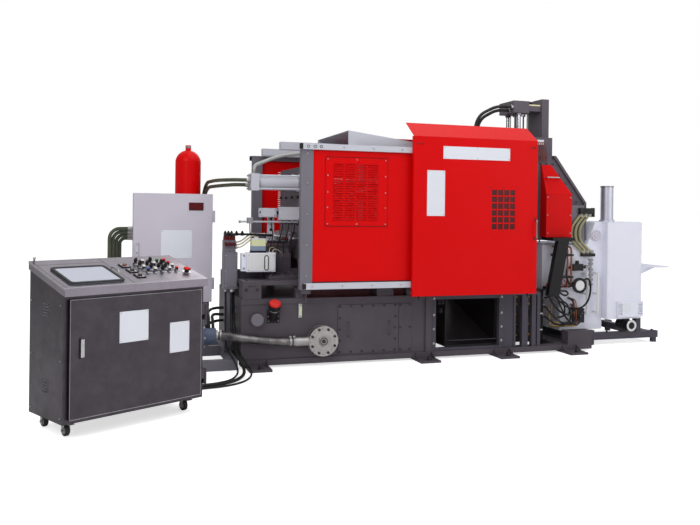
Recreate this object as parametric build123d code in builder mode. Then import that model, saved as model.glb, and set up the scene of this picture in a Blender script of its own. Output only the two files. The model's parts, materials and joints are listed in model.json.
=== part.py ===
from build123d import *
import os
from math import cos, pi, radians, sin, sqrt, tan

# Hot chamber die casting machine, in millimetres.
# X runs along the machine from the clamp end to the furnace, Y away from the operator, Z up.
# The origin is on the floor, on the centreline, under the die face of the fixed platen.

# Running and seating clearances
seat_gap = 0.3
slide_gap = 5
sheet = 4

# Floor plates and base
base_left = -2440
base_length = 3450
base_right = base_left + base_length
base_half = 660
base_top = 585
sole_thick = 20
sole_half = 846
sole_left_x = base_left + 140
sole_tank_x = -775
sole_platen_x = 20
sole_right_x = base_right - 252
sole_width = 190
anchor_half = 800
anchor_radius = 14
beam_top = 70
beam_width = 110
beam_proud = 15
beam_block_left = base_right - 270
beam_block_top = 200
tank_right = -760
tank_rim_proud = 8
tank_rim_height = 45
tank_rib_right = -700
tank_rib_proud = 18

# Fittings on the front of the tank
cover_left = -1589
cover_width = 695
cover_right = cover_left + cover_width
cover_low = 89
cover_height = 426
cover_high = cover_low + cover_height
cover_thick = 8
cover_split = cover_right - 126
cover_handle_height = 120
cover_handle_reach = 34
cover_handle_radius = 5
port_x = -2309
port_z = 412
port_radius = 56
port_depth = 22
gauge_x = -1931
gauge_low = 420
gauge_height = 115
gauge_high = gauge_low + gauge_height
gauge_width = 26
gauge_depth = 14
strainer_x = -1742
strainer_z = 220
strainer_radius = 130
strainer_flange = 24
strainer_neck_radius = 62
strainer_reach = 95
strainer_bolts = 8
strainer_bolt_radius = 9
strainer_bolt_head = 8
breather_x = -2167
breather_z = 436
breather_radius = 44
breather_length = 105
breather_cap_radius = 50
breather_cap_length = 46
breather_plate = 110
breather_tilt = 55

# Slideway on the base
slide_left = -2428
slide_right = -60
slide_top = 737
slide_thick = 37
slide_rail = 190
slide_block = 156
slide_lip_thick = 12

# Clamp unit
clamp_z = 1340
bar_pitch = 520
bar_radius = 38
bar_tail = 215
bar_tip = 5
nut_radius = 72
nut_thick = 55
platen_half = 400
platen_top = 1730
platen_low = 900
platen_foot = 150
platen_edge = 25
rear_platen_left = -1880
rear_platen_thick = 200
moving_platen_left = -880
moving_platen_thick = 190
fixed_platen_left = 40
fixed_platen_thick = 200
bar_left = rear_platen_left - nut_thick - bar_tail
bar_right = fixed_platen_left + fixed_platen_thick + nut_thick + bar_tip
nozzle_bore = 65

# Toggle links between the rear and the moving platen
toggle_plate = 46
toggle_plane = 105
toggle_lug = 24
toggle_pin = 26
toggle_eye = 58
toggle_outer_rise = 235
toggle_inner_rise = 190
toggle_lug_reach = 95
rear_link = 300
front_link = 345
crank_reach = 186
crank_pin = 16
crank_eye = 34
crosshead_gap = 150
crosshead_length = 100
crosshead_rise = 55
crosshead_half = 85
crosshead_rod = 35
rod_flange = 90
rod_flange_thick = 30

# Tee slots of the die faces
slot_pitch = 130
slot_count = 3
slot_neck = 22
slot_head = 38
slot_depth = 34
slot_lip = 16
platen_round = 35

# Clamp tail, cylinder and switch rail at the left end
tail_left = -2190
tail_half = 330
tail_top = 1020
tail_round = 110
tail_foot = 30
tail_foot_half = base_half - slide_rail / 2
cylinder_left = -2265
cylinder_y = -420
cylinder_z = 1585
cylinder_side = 148
cylinder_barrel = 60
cylinder_rod = 8
cylinder_block = 72
cylinder_flange = 24
switch_left = -2244
switch_width = 149
switch_split = switch_left + switch_width
switch_restart = switch_split + 22
switch_front = -420
switch_depth = 60
switch_drop = 141
switch_tall_height = 118
switch_tall_high = cylinder_z - cylinder_side / 2 - switch_drop
switch_tall_low = switch_tall_high - switch_tall_height
switch_height = 81
switch_low = switch_tall_low + 25
switch_high = switch_low + switch_height
switch_rod_z = switch_tall_low - 15
switch_rod_radius = 8
switch_rod_left = -2420
lever_x = -2130
lever_low = 1090
lever_width = 60
lever_thick = 18

# Sliding guards on both sides
guard_left = -1984
rear_guard_left = -2090
guard_face = 860
guard_depth = 60
guard_low = 676
guard_high = 1853
guard_post = 104
guard_mid_post = -930
guard_mid_width = 60
guard_right_post = 150
guard_right = guard_right_post + 80
header_height = 50
header_depth = 40
sill_height = 40
panel_low = 741
panel_depth = 25
louvre_inset = 213
louvre_width = 556
louvre_low = 1214
louvre_height = 580
louvre_high = louvre_low + louvre_height
louvre_columns = 4
louvre_rows = 24
louvre_slot = 88
louvre_slot_height = 9
louvre_side = 62
louvre_field_left = louvre_inset + louvre_side
louvre_field_width = louvre_width - 2 * louvre_side - 17
louvre_field_low = louvre_low + 43
louvre_field_high = louvre_high - 45
rail_depth = 25
upper_rail_left = 12
upper_rail_low = guard_high
upper_rail_high = upper_rail_low + 50
lower_rail_left = -26
lower_rail_low = guard_low + 4
lower_rail_high = lower_rail_low + 52
arm_height = 36
arm_width = 80
arm_inner = 560
arm_xs = (-1930, -900, 190)

# Sliding doors
door_left = -1000
door_width = 1225
door_right = door_left + door_width
door_low = 605
door_fold = 2000
door_face = 930
door_return = 38
hood_y = 735
hood_top = 2134
window_edge = 225
window_width = 245
window_right = door_right - window_edge
window_left = window_right - window_width
window_low = 1185
window_height = 367
window_high = window_low + window_height
handle_x = door_right - 22
handle_low = 1120
handle_height = 150
handle_reach = 34
handle_radius = 6
window_columns = 4
window_rows = 6
window_bar = 12
hanger_width = 60
hanger_xs = (-940, 165)
hanger_high = 1965

# Roof
cross_xs = (-1500, -900, 170)
cross_width = 60
roof_beam_left = -2000
roof_beam_right = -1440
roof_beam_width = 80
roof_beam_height = 72
roof_beam_y = -100
rear_beam_y = 760
rear_beam_right = 190
cover_roof_left = -1540
cover_roof_right = -880
cover_roof_front = -750
cover_roof_back = 250
cover_roof_peak = 2040
cover_roof_tail = 1955

# Open bay under the die, with its chute
bay_left = -697
bay_right = 43
bay_bar = 46
bay_low = 95
chute_left = -538
chute_right = -20
chute_low = 150
chute_high = 560
chute_sheet = 6

# Pedestal and water manifold under the fixed platen
pedestal_left = 60
pedestal_right = 620
pedestal_half = 420
manifold_plate_right = 152
manifold_plate_thick = 12
manifold_bars = ((152, 174), (242, 305), (347, 392), (405, 440))
manifold_depth = 45
manifold_low = 100
manifold_high = 560
manifold_tie = 30

# Injection unit
cheek_y = 290
cheek_thick = 20
cheek_flange = 22
cheek_flange_width = 26
cheek_left = 620
cheek_right = 1186
cheek_low = 1067
cheek_shoulder = 1452
cheek_top_x = 820
cheek_top = 1925
arm_low = 1190
arm_high = 1500
head_left = 440
head_right = 800
head_low = 1812
head_high = 2110
column_left = 750
column_right = 832
column_half = 150
column_top = 2520
cap_thick = 18
cap_low = 2375
cap_high = 2500
yoke_left = 420
yoke_right = 600
yoke_low = 2368
yoke_high = 2490
yoke_arm_low = 2392
yoke_arm_high = 2446
shot_x = 600
shot_radius = 52
guide_radius = 18
guide_x = 500
guide_y = 110
nozzle_left = 656
nozzle_right = 953
nozzle_low = 1100
nozzle_shoulder = 1530
nozzle_top = 1830
nozzle_top_right = 769
nozzle_face = -400
nozzle_back = -290.3
brace_width = 125
brace_top_x = 735
brace_low_x = 628
brace_front = -500
brace_thick = 60

# Furnace
furnace_left = 660
furnace_step = furnace_left + 210
furnace_join = furnace_step + 501
furnace_width = 425
furnace_right = furnace_join + furnace_width
furnace_front = -420
furnace_side = -330
furnace_back = 420
furnace_top = 1252
furnace_pot_top = 1020
furnace_low = 257
furnace_pot_low = 150
hopper_left = furnace_join - 181
hopper_lean = 90
port_flange = 62
port_flange_z = 1120
furnace_corner = 14
chimney_x = 1525
chimney_y = -190
chimney_radius = 65
chimney_collar = 14
chimney_collar_height = 22
chimney_top = 1635
box_left = 1480
box_right = 1791
box_low = 278
box_high = 438
box_reach = 30
vent_width = 52
vent_margin = 8
vent_pitch = 24
vent_count = 5
seat_rim = 8
skid_right = 2009
skid_low = 50
skid_top = 120
skid_wide = 70
skid_y = 380
leg_side = 60
foot_radius = 32
blower_x = 1640
blower_z = 190
blower_radius = 62
blower_length = 120
shelf_z = 780
shelf_right = 2280
shelf_half = 260
shelf_thick = 12

# Electrical cabinet, its stand and the pump unit
cabinet_left = -3302
cabinet_width = 694
cabinet_right = cabinet_left + cabinet_width
cabinet_front = -50
cabinet_depth = 250
cabinet_back = cabinet_front + cabinet_depth
cabinet_low = 500
cabinet_height = 978
cabinet_high = cabinet_low + cabinet_height
cabinet_hinge_zs = (cabinet_low + 150, cabinet_high - 220)
cabinet_sheet = 4
cabinet_lip = 30
cabinet_door_depth = 22
latch_inset = 18
latch_width = 25
latch_proud = 14
latch_low = 880
latch_height = 160
hinge_pin = 5
hinge_wall = 5
hinge_knuckle = 70
stand_left = -3290
stand_right = -2470
stand_back = 440
stand_rail = 90
stand_post = 50
stand_base = 40
suction_y = -base_half - 48
motor_x = -2920
motor_y = suction_y + 148
motor_z = 270
stand_front = motor_y - 140
motor_fins = 18
motor_fin_height = 8
motor_fin_thick = 5
terminal_box = 90
motor_radius = 120
motor_length = 280
pump_radius = 70
pump_length = 140
suction_radius = 36
suction_bend = 100
stub_left = strainer_x - 243
stub_radius = 42
accumulator_x = -2795
accumulator_y = 330
accumulator_radius = 119
accumulator_low = 560
accumulator_high = 1900
accumulator_nipple = 26
accumulator_nipple_top = 1946
junction_left = -2555
junction_width = 119
junction_right = junction_left + junction_width
junction_front = -420
junction_depth = 120
junction_back = junction_front + junction_depth
junction_low = 650
junction_height = 320
junction_high = junction_low + junction_height
valve_block = 105
valve_count = 3
valve_radius = 14
valve_reach = 40
lubricator_left = -2416
lubricator_width = 291
lubricator_side = 40
lubricator_right = lubricator_left + lubricator_width
lubricator_front = -540
lubricator_depth = 110
lubricator_low = 805
lubricator_high = lubricator_low + 165
reservoir_left = lubricator_left + 86
reservoir_width = 118
reservoir_high = lubricator_high + 115

# Operator console
console_x = -3436
console_y = -1949
console_turn = 29
console_half = 485
console_depth = 217
console_low = 95
console_front_top = 846
console_back_top = 965
console_sheet = 3
lid_overhang = 40
lid_thick = 50
console_door_half = 455
console_door_low = 120
console_door_high = 815
console_door_depth = 20
console_lip = 15
key_inset = 60
key_width = 25
key_proud = 12
key_low = 470
key_height = 120
gland_x = 250
gland_z = 190
gland_length = 22
gland_radius = 20
screen_x = -262
screen_y = -55
screen_wide = 350
screen_deep = 280
screen_rise = 6
screen_rim = 20
screen_sink = 3
plate_x = 53
plate_y = -28
plate_side = 62
plate_pitch = 97
plate_count = 3
plate_thick = 6
button_left = 155
button_y = 30
button_pitch = 54
button_columns = 5
button_rows = 4
button_radius = 15
button_collar = 5
button_height = 18
stop_x = 420
stop_y = -100
stop_radius = 24
caster_x = 410
caster_y = 139
wheel_radius = 34
wheel_width = 26
wheel_bore = 5
caster_trail = 28
fork_side_gap = 4
fork_sheet = 4
caster_plate = 4
caster_pad = 32
crown_radius = 26

# Hoses and cables
cable_diameter = 26
hose_diameter = 32
cable_route = (
    (-3333.3, -1618.5, 190), (-3401.2, -1496.1, 190), (-3425, -1370, 75), (-3330, -1270, 16),
    (-3110, -1290, 14), (-2880, -1262, 14), (-2670, -1228, 14), (-2520, -1100, 14), (-2440, -920, 34),
    (-2475, -740, 115),
    (-2495, -600, 200), (-2487, -430, 380), (-2478, -385, 520), (-2478, -385, 650),
)
hose_face = cylinder_left - cylinder_block
clamp_hose_routes = (
    ((hose_face, -455, 1600), (-2470, -455, 1600), (-2590, -150, 1604), (-2650, 355, 1590),
     (-2650, 355, cabinet_low)),
    ((hose_face, -400, 1560), (-2460, -400, 1560), (-2560, -100, 1556), (-2650, 310, 1545),
     (-2650, 310, cabinet_low)),
    ((-2300, cylinder_y, cylinder_z + cylinder_side / 2), (-2300, cylinder_y, 1730), (-2060, -330, 1830),
     (-1760, -210, 1874), (-1530, -210, 1874)),
)
bundle_count = 4
bundle_y = 60
bundle_pitch = 36
bundle_top = 1160
bundle_drop = 30
bundle_reach = 200
bundle_block = 60
conduit_routes = (
    ((170, -128, 1903), (170, -128, 2010), (-20, -128, 2130), (30, -128, 2320), (240, -128, 2425),
     (420, -128, 2425)),
    ((170, -84, 1903), (170, -84, 2000), (30, -84, 2120), (70, -84, 2290), (260, -84, 2392),
     (420, -84, 2392)),
)
arc_diameter = 26
arc_y = -352
arc_xs = (1100, 1150, 1200)
arc_rise = 270
arc_bulge = 120
arc_drift = 30
arc_block = 60


def block(low, high, mode=Mode.ADD):
    """An upright block between two opposite corners."""
    centre = tuple((near + far) / 2 for near, far in zip(low, high))
    size = [far - near for near, far in zip(low, high)]
    with Locations(centre):
        Box(*size, mode=mode)


def bar(start, direction, length, radius, mode=Mode.ADD):
    """A round bar from the centre of its first end."""
    with Locations(Plane(origin=start, z_dir=direction)):
        Cylinder(radius, length, align=(Align.CENTER, Align.CENTER, Align.MIN), mode=mode)


def side_plate(points, y, thick, mode=Mode.ADD):
    """A plate with an outline in X and Z, from y towards the back."""
    with BuildSketch(Plane.XZ.offset(-y)) as outline:
        with BuildLine():
            Polyline(*points, close=True)
        make_face()
    extrude(outline.sketch, amount=-thick, mode=mode)


def cross_plate(points, x, thick, mode=Mode.ADD, corner=0):
    """A plate with an outline in Y and Z, from x towards the furnace."""
    with BuildSketch(Plane.YZ.offset(x)) as outline:
        with BuildLine():
            Polyline(*points, close=True)
        make_face()
        if corner:
            fillet(outline.vertices(), radius=corner)
    extrude(outline.sketch, amount=thick, mode=mode)


def between(first, second):
    """Two values in rising order."""
    return min(first, second), max(first, second)


def corner_radii(points):
    """The largest even arcs that the runs of a route allow."""
    radii = []
    for before, corner, after in zip(points, points[1:], points[2:]):
        first = Vector(*corner) - Vector(*before)
        second = Vector(*after) - Vector(*corner)
        turn = radians(first.get_angle(second))
        radii.append(0.45 * min(first.length, second.length) / tan(turn / 2))
    return radii


def grip(foot, out, along, reach, length, radius):
    """A round bar handle that stands on a face by both ends."""
    foot = Vector(*foot)
    out = Vector(*out)
    along = Vector(*along)
    path = (foot, foot + out * reach, foot + out * reach + along * length, foot + along * length)
    with BuildLine():
        route = FilletPolyline(*path, radius=2.5 * radius)
    with BuildSketch(Plane(origin=foot, z_dir=out)) as outline:
        Circle(radius)
    sweep(sections=outline.sketch, path=route)


def to_back(part):
    """The same piece on the far side of the centreline."""
    return mirror(part, about=Plane.XZ)


# Base


def base_tank():
    with BuildPart() as tank:
        block((base_left, -base_half, beam_top), (tank_right, base_half, base_top))
        for side in (-1, 1):
            near, far = sorted((side * base_half, side * (base_half + tank_rim_proud)))
            block((base_left, near, base_top - tank_rim_height), (tank_right, far, base_top))
            near, far = sorted((side * base_half, side * (base_half + tank_rib_proud)))
            block((tank_right, near, beam_top), (tank_rib_right, far, base_top))
        block((tank_right, -base_half, beam_top), (tank_rib_right, base_half, base_top))
    return tank.part


def base_beams():
    with BuildPart() as beams:
        for side in (-1, 1):
            outer = side * (base_half + beam_proud)
            inner = side * (base_half + beam_proud - beam_width)
            near, far = sorted((inner, outer))
            block((base_left, near, sole_thick), (base_right, far, beam_top))
            block((beam_block_left, near, beam_top), (base_right, far, beam_block_top))
        for x in (sole_left_x, sole_tank_x, sole_platen_x, sole_right_x):
            half = sole_width / 2 - beam_proud
            reach = base_half + beam_proud - beam_width
            block((x - half, -reach, sole_thick), (x + half, reach, beam_top))
        block((base_right - beam_width, -reach, sole_thick), (base_right, reach, beam_top))
        for x in (sole_left_x, sole_tank_x, sole_platen_x, sole_right_x):
            block((x - sole_width / 2, -sole_half, 0), (x + sole_width / 2, sole_half, sole_thick))
            for y in (-anchor_half, anchor_half):
                bar((x, y, 0), (0, 0, 1), sole_thick, anchor_radius, mode=Mode.SUBTRACT)
    return beams.part


def tank_cover():
    face = -base_half
    with BuildPart() as cover:
        block((cover_left, face - cover_thick, cover_low), (cover_split - 2, face, cover_high))
        block((cover_split + 2, face - cover_thick, cover_low), (cover_right, face, cover_high))
        for x in (cover_left + 90, cover_split - 90):
            middle = (cover_low + cover_high) / 2
            foot = (x, face - cover_thick, middle - cover_handle_height / 2)
            grip(foot, (0, -1, 0), (0, 0, 1), cover_handle_reach, cover_handle_height, cover_handle_radius)
    return cover.part


def tank_fittings():
    """Sealed port and oil level gauge on the front of the tank."""
    face = -base_half
    with BuildPart() as fittings:
        bar((port_x, face - port_depth, port_z), (0, 1, 0), port_depth, port_radius)
        edge = fittings.edges().filter_by(GeomType.CIRCLE).sort_by(Axis.Y)[0]
        fillet(edge, radius=port_depth / 4)
        low = (gauge_x - gauge_width / 2, face - gauge_depth, gauge_low)
        block(low, (gauge_x + gauge_width / 2, face, gauge_high))
    return fittings.part


def breather():
    """Filler breather on a sloped neck, with its plate on the tank."""
    face = -base_half
    tilt = radians(breather_tilt)
    direction = (0, -cos(tilt), sin(tilt))
    half = breather_plate / 2
    with BuildPart() as filter_body:
        block((breather_x - half, face - 10, breather_z - half),
              (breather_x + half, face, breather_z + half))
        start = Vector(breather_x, face + 12, breather_z - 12)
        bar(start, direction, breather_length, breather_radius)
        tip = start + Vector(*direction) * breather_length
        bar(tip, direction, breather_cap_length, breather_cap_radius)
        block((breather_x - 2 * half, face, breather_z - 2 * half),
              (breather_x + 2 * half, face + 2 * half, breather_z + 2 * half), mode=Mode.SUBTRACT)
    return filter_body.part


def strainer():
    """Suction strainer flange with its bolts and the neck that enters the tank."""
    face = -base_half
    outer = face - strainer_reach
    with BuildPart() as flange:
        bar((strainer_x, outer + strainer_flange, strainer_z), (0, 1, 0),
            strainer_reach - 2 * strainer_flange,
            strainer_neck_radius)
        bar((strainer_x, outer, strainer_z), (0, 1, 0), strainer_flange, strainer_radius)
        bar((stub_left, suction_y, strainer_z), (1, 0, 0), strainer_x - stub_left, stub_radius)
        bar((strainer_x, face - strainer_flange, strainer_z), (0, 1, 0), strainer_flange, strainer_radius)
        with Locations(Plane(origin=(strainer_x, outer, strainer_z), z_dir=(0, -1, 0))):
            with PolarLocations(strainer_radius * 0.82, strainer_bolts):
                Cylinder(strainer_bolt_radius, strainer_bolt_head,
                         align=(Align.CENTER, Align.CENTER, Align.MIN))
            Cylinder(strainer_bolt_radius * 2, strainer_bolt_head,
                     align=(Align.CENTER, Align.CENTER, Align.MIN))
    return flange.part


def slideway():
    """Two hardened slide plates on blocks, with an end plate at the clamp end."""
    under = slide_top - slide_thick
    with BuildPart() as ways:
        for side in (-1, 1):
            near, far = sorted((side * base_half, side * (base_half - slide_rail)))
            block((slide_left, near, under), (slide_right, far, slide_top))
            for x in (slide_left, tank_right - 3 * slide_block, slide_right - slide_block):
                block((x, near, base_top), (x + slide_block, far, under))
            near, far = sorted((side * base_half, side * (base_half + slide_lip_thick)))
            block((slide_left, near, base_top), (slide_left + slide_block, far, slide_top))
        block((slide_left, -base_half, under), (slide_left + slide_rail, base_half, slide_top))
    return ways.part


# Clamp unit


def bar_centres():
    half = bar_pitch / 2
    return [(y, clamp_z + z) for y in (-half, half) for z in (-half, half)]


def platen_block(left, thick):
    """A platen on two feet, bored for the four tie bars."""
    foot_out = base_half - slide_rail + platen_foot
    foot_in = base_half - slide_rail - 60
    outline = ((-foot_out, slide_top), (-foot_in, slide_top), (-foot_in + 90, platen_low),
               (foot_in - 90, platen_low), (foot_in, slide_top), (foot_out, slide_top),
               (foot_out, slide_top + 90), (platen_half, platen_low + 60), (platen_half, platen_top),
               (-platen_half, platen_top), (-platen_half, platen_low + 60), (-foot_out, slide_top + 90))
    cross_plate(outline, left, thick, corner=platen_round)
    for y, z in bar_centres():
        bar((left, y, z), (1, 0, 0), thick, bar_radius + seat_gap, mode=Mode.SUBTRACT)


def tee_slots(face, into):
    """Level tee slots across a die face, cut into the platen."""
    for step in range(slot_count):
        z = clamp_z + (step - (slot_count - 1) / 2) * slot_pitch
        near, far = between(face, face + into * slot_depth)
        neck = slot_neck / 2
        block((near, -platen_half, z - neck), (far, platen_half, z + neck), mode=Mode.SUBTRACT)
        near, far = between(face + into * slot_lip, face + into * slot_depth)
        head = slot_head / 2
        block((near, -platen_half, z - head), (far, platen_half, z + head), mode=Mode.SUBTRACT)


def toggle_lugs(face, direction, rise, forked):
    """Bored lugs on a platen face, above and below the clamp line, in pairs or single."""
    near, far = between(face, face + direction * (toggle_lug_reach + toggle_eye))
    pin_x = face + direction * toggle_lug_reach
    pair_inner = toggle_plate / 2 + seat_gap
    for sign in (-1, 1):
        z = clamp_z + sign * rise
        for plane in (-toggle_plane, toggle_plane):
            if forked:
                sides = ((plane - pair_inner - toggle_lug, plane - pair_inner),
                         (plane + pair_inner, plane + pair_inner + toggle_lug))
            else:
                sides = ((plane - toggle_plate / 2 + seat_gap, plane + toggle_plate / 2 - seat_gap),)
            for low_y, high_y in sides:
                block((near, low_y, z - toggle_eye), (far, high_y, z + toggle_eye))
        reach_y = 2 * (toggle_plane + toggle_plate + toggle_lug)
        bar((pin_x, -reach_y / 2, z), (0, 1, 0), reach_y, toggle_pin + seat_gap, mode=Mode.SUBTRACT)


def rear_platen():
    face = rear_platen_left + rear_platen_thick
    with BuildPart() as platen:
        platen_block(rear_platen_left, rear_platen_thick)
        toggle_lugs(face, 1, toggle_outer_rise, True)
    return platen.part


def moving_platen():
    with BuildPart() as platen:
        platen_block(moving_platen_left, moving_platen_thick)
        toggle_lugs(moving_platen_left, -1, toggle_inner_rise, False)
        tee_slots(moving_platen_left + moving_platen_thick, -1)
    return platen.part


def fixed_platen():
    left = fixed_platen_left
    right = left + fixed_platen_thick
    with BuildPart() as platen:
        block((left, -platen_half, base_top), (right, platen_half, platen_top))
        chamfer(platen.edges().filter_by(Axis.X), length=platen_edge)
        for y, z in bar_centres():
            bar((left, y, z), (1, 0, 0), fixed_platen_thick, bar_radius + seat_gap, mode=Mode.SUBTRACT)
        bar((left, 0, clamp_z), (1, 0, 0), fixed_platen_thick, nozzle_bore, mode=Mode.SUBTRACT)
        tee_slots(left, 1)
    return platen.part


def tie_bars():
    """Four ground bars with their hexagon nuts against the rear and the fixed platen."""
    fixed_right = fixed_platen_left + fixed_platen_thick
    with BuildPart() as bars:
        for y, z in bar_centres():
            bar((bar_left, y, z), (1, 0, 0), bar_right - bar_left, bar_radius)
        for x in (fixed_right, rear_platen_left - nut_thick):
            with BuildSketch(Plane.YZ.offset(x)) as nuts:
                with Locations(*bar_centres()):
                    RegularPolygon(nut_radius, 6)
            extrude(nuts.sketch, amount=nut_thick)
    return bars.part


def link_between(start, end, plane, thick, eye, pins):
    """A toggle link with round ends, flat in one plane, bored for the pins along its line."""
    run = Vector(end[0] - start[0], 0, end[1] - start[1])
    middle = ((start[0] + end[0]) / 2, plane, (start[1] + end[1]) / 2)
    with BuildSketch(Plane(origin=middle, x_dir=run, z_dir=(0, 1, 0))) as outline:
        SlotCenterToCenter(run.length, 2 * eye)
        for reach, radius in pins:
            with Locations((reach - run.length / 2, 0)):
                Circle(radius + seat_gap, mode=Mode.SUBTRACT)
    extrude(outline.sketch, amount=thick / 2 - seat_gap, both=True)


def knee_point(start, end, first, second):
    """The joint of two links of the given lengths, on the clamp line's side."""
    run = Vector(*end) - Vector(*start)
    along = (first ** 2 - second ** 2 + run.length ** 2) / (2 * run.length)
    rise = sqrt(first ** 2 - along ** 2)
    unit = run.normalized()
    return Vector(*start) + unit * along + Vector(unit.Y, -unit.X) * rise


def toggle_links():
    """Double toggle linkage, folded inwards, with its crosshead on the clamp rod."""
    rear_face = rear_platen_left + rear_platen_thick
    rear_eye = Vector(rear_face + toggle_lug_reach, toggle_outer_rise)
    front_eye = Vector(moving_platen_left - toggle_lug_reach, toggle_inner_rise)
    knee = knee_point(rear_eye, front_eye, rear_link, front_link)
    crank = rear_eye + (knee - rear_eye) * (crank_reach / rear_link)
    head_pin = Vector(rear_face + crosshead_gap + crosshead_length / 2, crosshead_rise)
    side_step = toggle_plate / 2 + seat_gap + toggle_lug / 2
    pin_half = toggle_plane + side_step + toggle_lug
    with BuildPart() as links:
        for sign in (-1, 1):
            def on(point):
                return point.X, clamp_z + sign * point.Y
            head_link = (head_pin - crank).length
            for side in (-1, 1):
                plane = side * toggle_plane
                inner_plane = plane - side * side_step
                outer_plane = plane + side * side_step
                link_between(on(rear_eye), on(knee), plane, toggle_plate, toggle_eye - 3,
                             ((0, toggle_pin), (crank_reach, crank_pin), (rear_link, toggle_pin)))
                for fork in (inner_plane, outer_plane):
                    link_between(on(knee), on(front_eye), fork, toggle_lug, toggle_eye - 8,
                                 ((0, toggle_pin), (front_link, toggle_pin)))
                link_between(on(crank), on(head_pin), inner_plane, toggle_lug, crank_eye,
                             ((0, crank_pin), (head_link, crank_pin)))
                near, far = between(inner_plane - side * toggle_lug, plane + side * toggle_plate)
                bar((on(crank)[0], near, on(crank)[1]), (0, 1, 0), far - near, crank_pin)
            for x, z in (on(rear_eye), on(knee), on(front_eye)):
                bar((x, -pin_half, z), (0, 1, 0), 2 * pin_half, toggle_pin)
            head_half = toggle_plane - side_step + toggle_lug
            x, z = on(head_pin)
            bar((x, -head_half, z), (0, 1, 0), 2 * head_half, crank_pin)
        body_half = toggle_plane - side_step - toggle_lug / 2
        block((rear_face + crosshead_gap, -body_half, clamp_z - crosshead_half),
              (rear_face + crosshead_gap + crosshead_length, body_half, clamp_z + crosshead_half))
        bar((rear_face, 0, clamp_z), (1, 0, 0), crosshead_gap, crosshead_rod)
        bar((rear_face, 0, clamp_z), (1, 0, 0), rod_flange_thick, rod_flange)
    return links.part


def clamp_tail():
    """Rounded casting behind the rear platen, with feet on the slide plates."""
    right = rear_platen_left - nut_thick - 5
    with BuildPart() as tail:
        block((tail_left, -tail_half, slide_top), (right, tail_half, tail_top))
        top_edges = tail.edges().filter_by(Axis.X).group_by(Axis.Z)[-1]
        fillet(top_edges, radius=tail_round)
        block((tail_left, -tail_foot_half, slide_top), (right, tail_foot_half, slide_top + tail_foot))
    return tail.part


def clamp_cylinder():
    """Tie rod cylinder beside the rear platen, with its end block and flange."""
    half = cylinder_side / 2
    right = rear_platen_left
    low_y = cylinder_y - half
    high_y = cylinder_y + half
    with BuildPart() as cylinder:
        block((cylinder_left - cylinder_block, low_y, cylinder_z - half),
              (cylinder_left, high_y, cylinder_z + half))
        bar((cylinder_left, cylinder_y, cylinder_z), (1, 0, 0), right - cylinder_left, cylinder_barrel)
        block((right - cylinder_flange, low_y, cylinder_z - half), (right, high_y, cylinder_z + half))
        for y in (-1, 1):
            for z in (-1, 1):
                offset = half - 2 * cylinder_rod
                start = (cylinder_left, cylinder_y + y * offset, cylinder_z + z * offset)
                bar(start, (1, 0, 0), right - cylinder_left, cylinder_rod)
    return cylinder.part


def switch_rail():
    """Two switch boxes on a rail, their sensor rod and the lever that stands under them."""
    back = switch_front + switch_depth
    with BuildPart() as rail:
        block((switch_left, back, switch_low + 10), (rear_platen_left, back + 12, switch_high - 10))
        block((switch_left, switch_front, switch_low), (switch_split, back, switch_high))
        block((switch_restart, switch_front, switch_tall_low), (rear_platen_left, back, switch_tall_high))
        rod_y = switch_front + switch_depth / 2
        rod_length = rear_platen_left - switch_rod_left
        bar((switch_rod_left, rod_y, switch_rod_z), (1, 0, 0), rod_length, switch_rod_radius)
        half = lever_width / 2
        block((lever_x - half, back + 12, lever_low),
              (lever_x + half, back + 12 + lever_thick, switch_low + 20))
    return rail.part


# Guards and doors


def both_sides(make):
    """A guard piece for the front and its like for the back, which starts further left."""
    return Compound(children=[make(guard_left), to_back(make(rear_guard_left))])


def guard_frame(left):
    face = -guard_face
    inner = face + guard_depth
    posts = ((left, left + guard_post), (guard_mid_post, guard_mid_post + guard_mid_width),
             (guard_right_post, guard_right))
    with BuildPart() as frame:
        for near, far in posts:
            block((near, face, guard_low), (far, inner, guard_high))
        block((left, face, guard_high), (guard_right, face + header_depth, guard_high + header_height))
        block((left, face, guard_low), (guard_right, face + header_depth, guard_low + sill_height))
    return frame.part


def guard_panel(left):
    """Fixed sheet pan beside the door, with its louvred plate cut in rows of slots."""
    near = left + guard_post
    far = guard_mid_post
    face = -guard_face + 5
    inner = face + panel_depth
    plate_left = left + louvre_inset
    field_left = left + louvre_field_left
    with BuildPart() as panel:
        block((near, face, panel_low), (far, inner, guard_high))
        block((near + sheet, face + sheet, panel_low + sheet), (far - sheet, inner, guard_high - sheet),
              mode=Mode.SUBTRACT)
        block((plate_left, face - sheet, louvre_low), (plate_left + louvre_width, face, louvre_high))
        pitch_x = louvre_field_width / louvre_columns
        pitch_z = (louvre_field_high - louvre_field_low) / louvre_rows
        middle_x = field_left + louvre_field_width / 2
        middle_z = (louvre_field_low + louvre_field_high) / 2
        with BuildSketch(Plane.XZ.offset(guard_face)) as slots:
            with Locations((middle_x, middle_z)):
                with GridLocations(pitch_x, pitch_z, louvre_columns, louvre_rows):
                    Rectangle(louvre_slot, louvre_slot_height)
        extrude(slots.sketch, amount=-(5 + 2 * sheet), mode=Mode.SUBTRACT)
    return panel.part


def guard_rails(left):
    """Upper and lower door rails on the outer face of the guard frame."""
    outer = -guard_face - rail_depth
    with BuildPart() as rails:
        block((left - upper_rail_left, outer, upper_rail_low), (guard_right, -guard_face, upper_rail_high))
        block((left - lower_rail_left, outer, lower_rail_low), (guard_right, -guard_face, lower_rail_high))
    return rails.part


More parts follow.
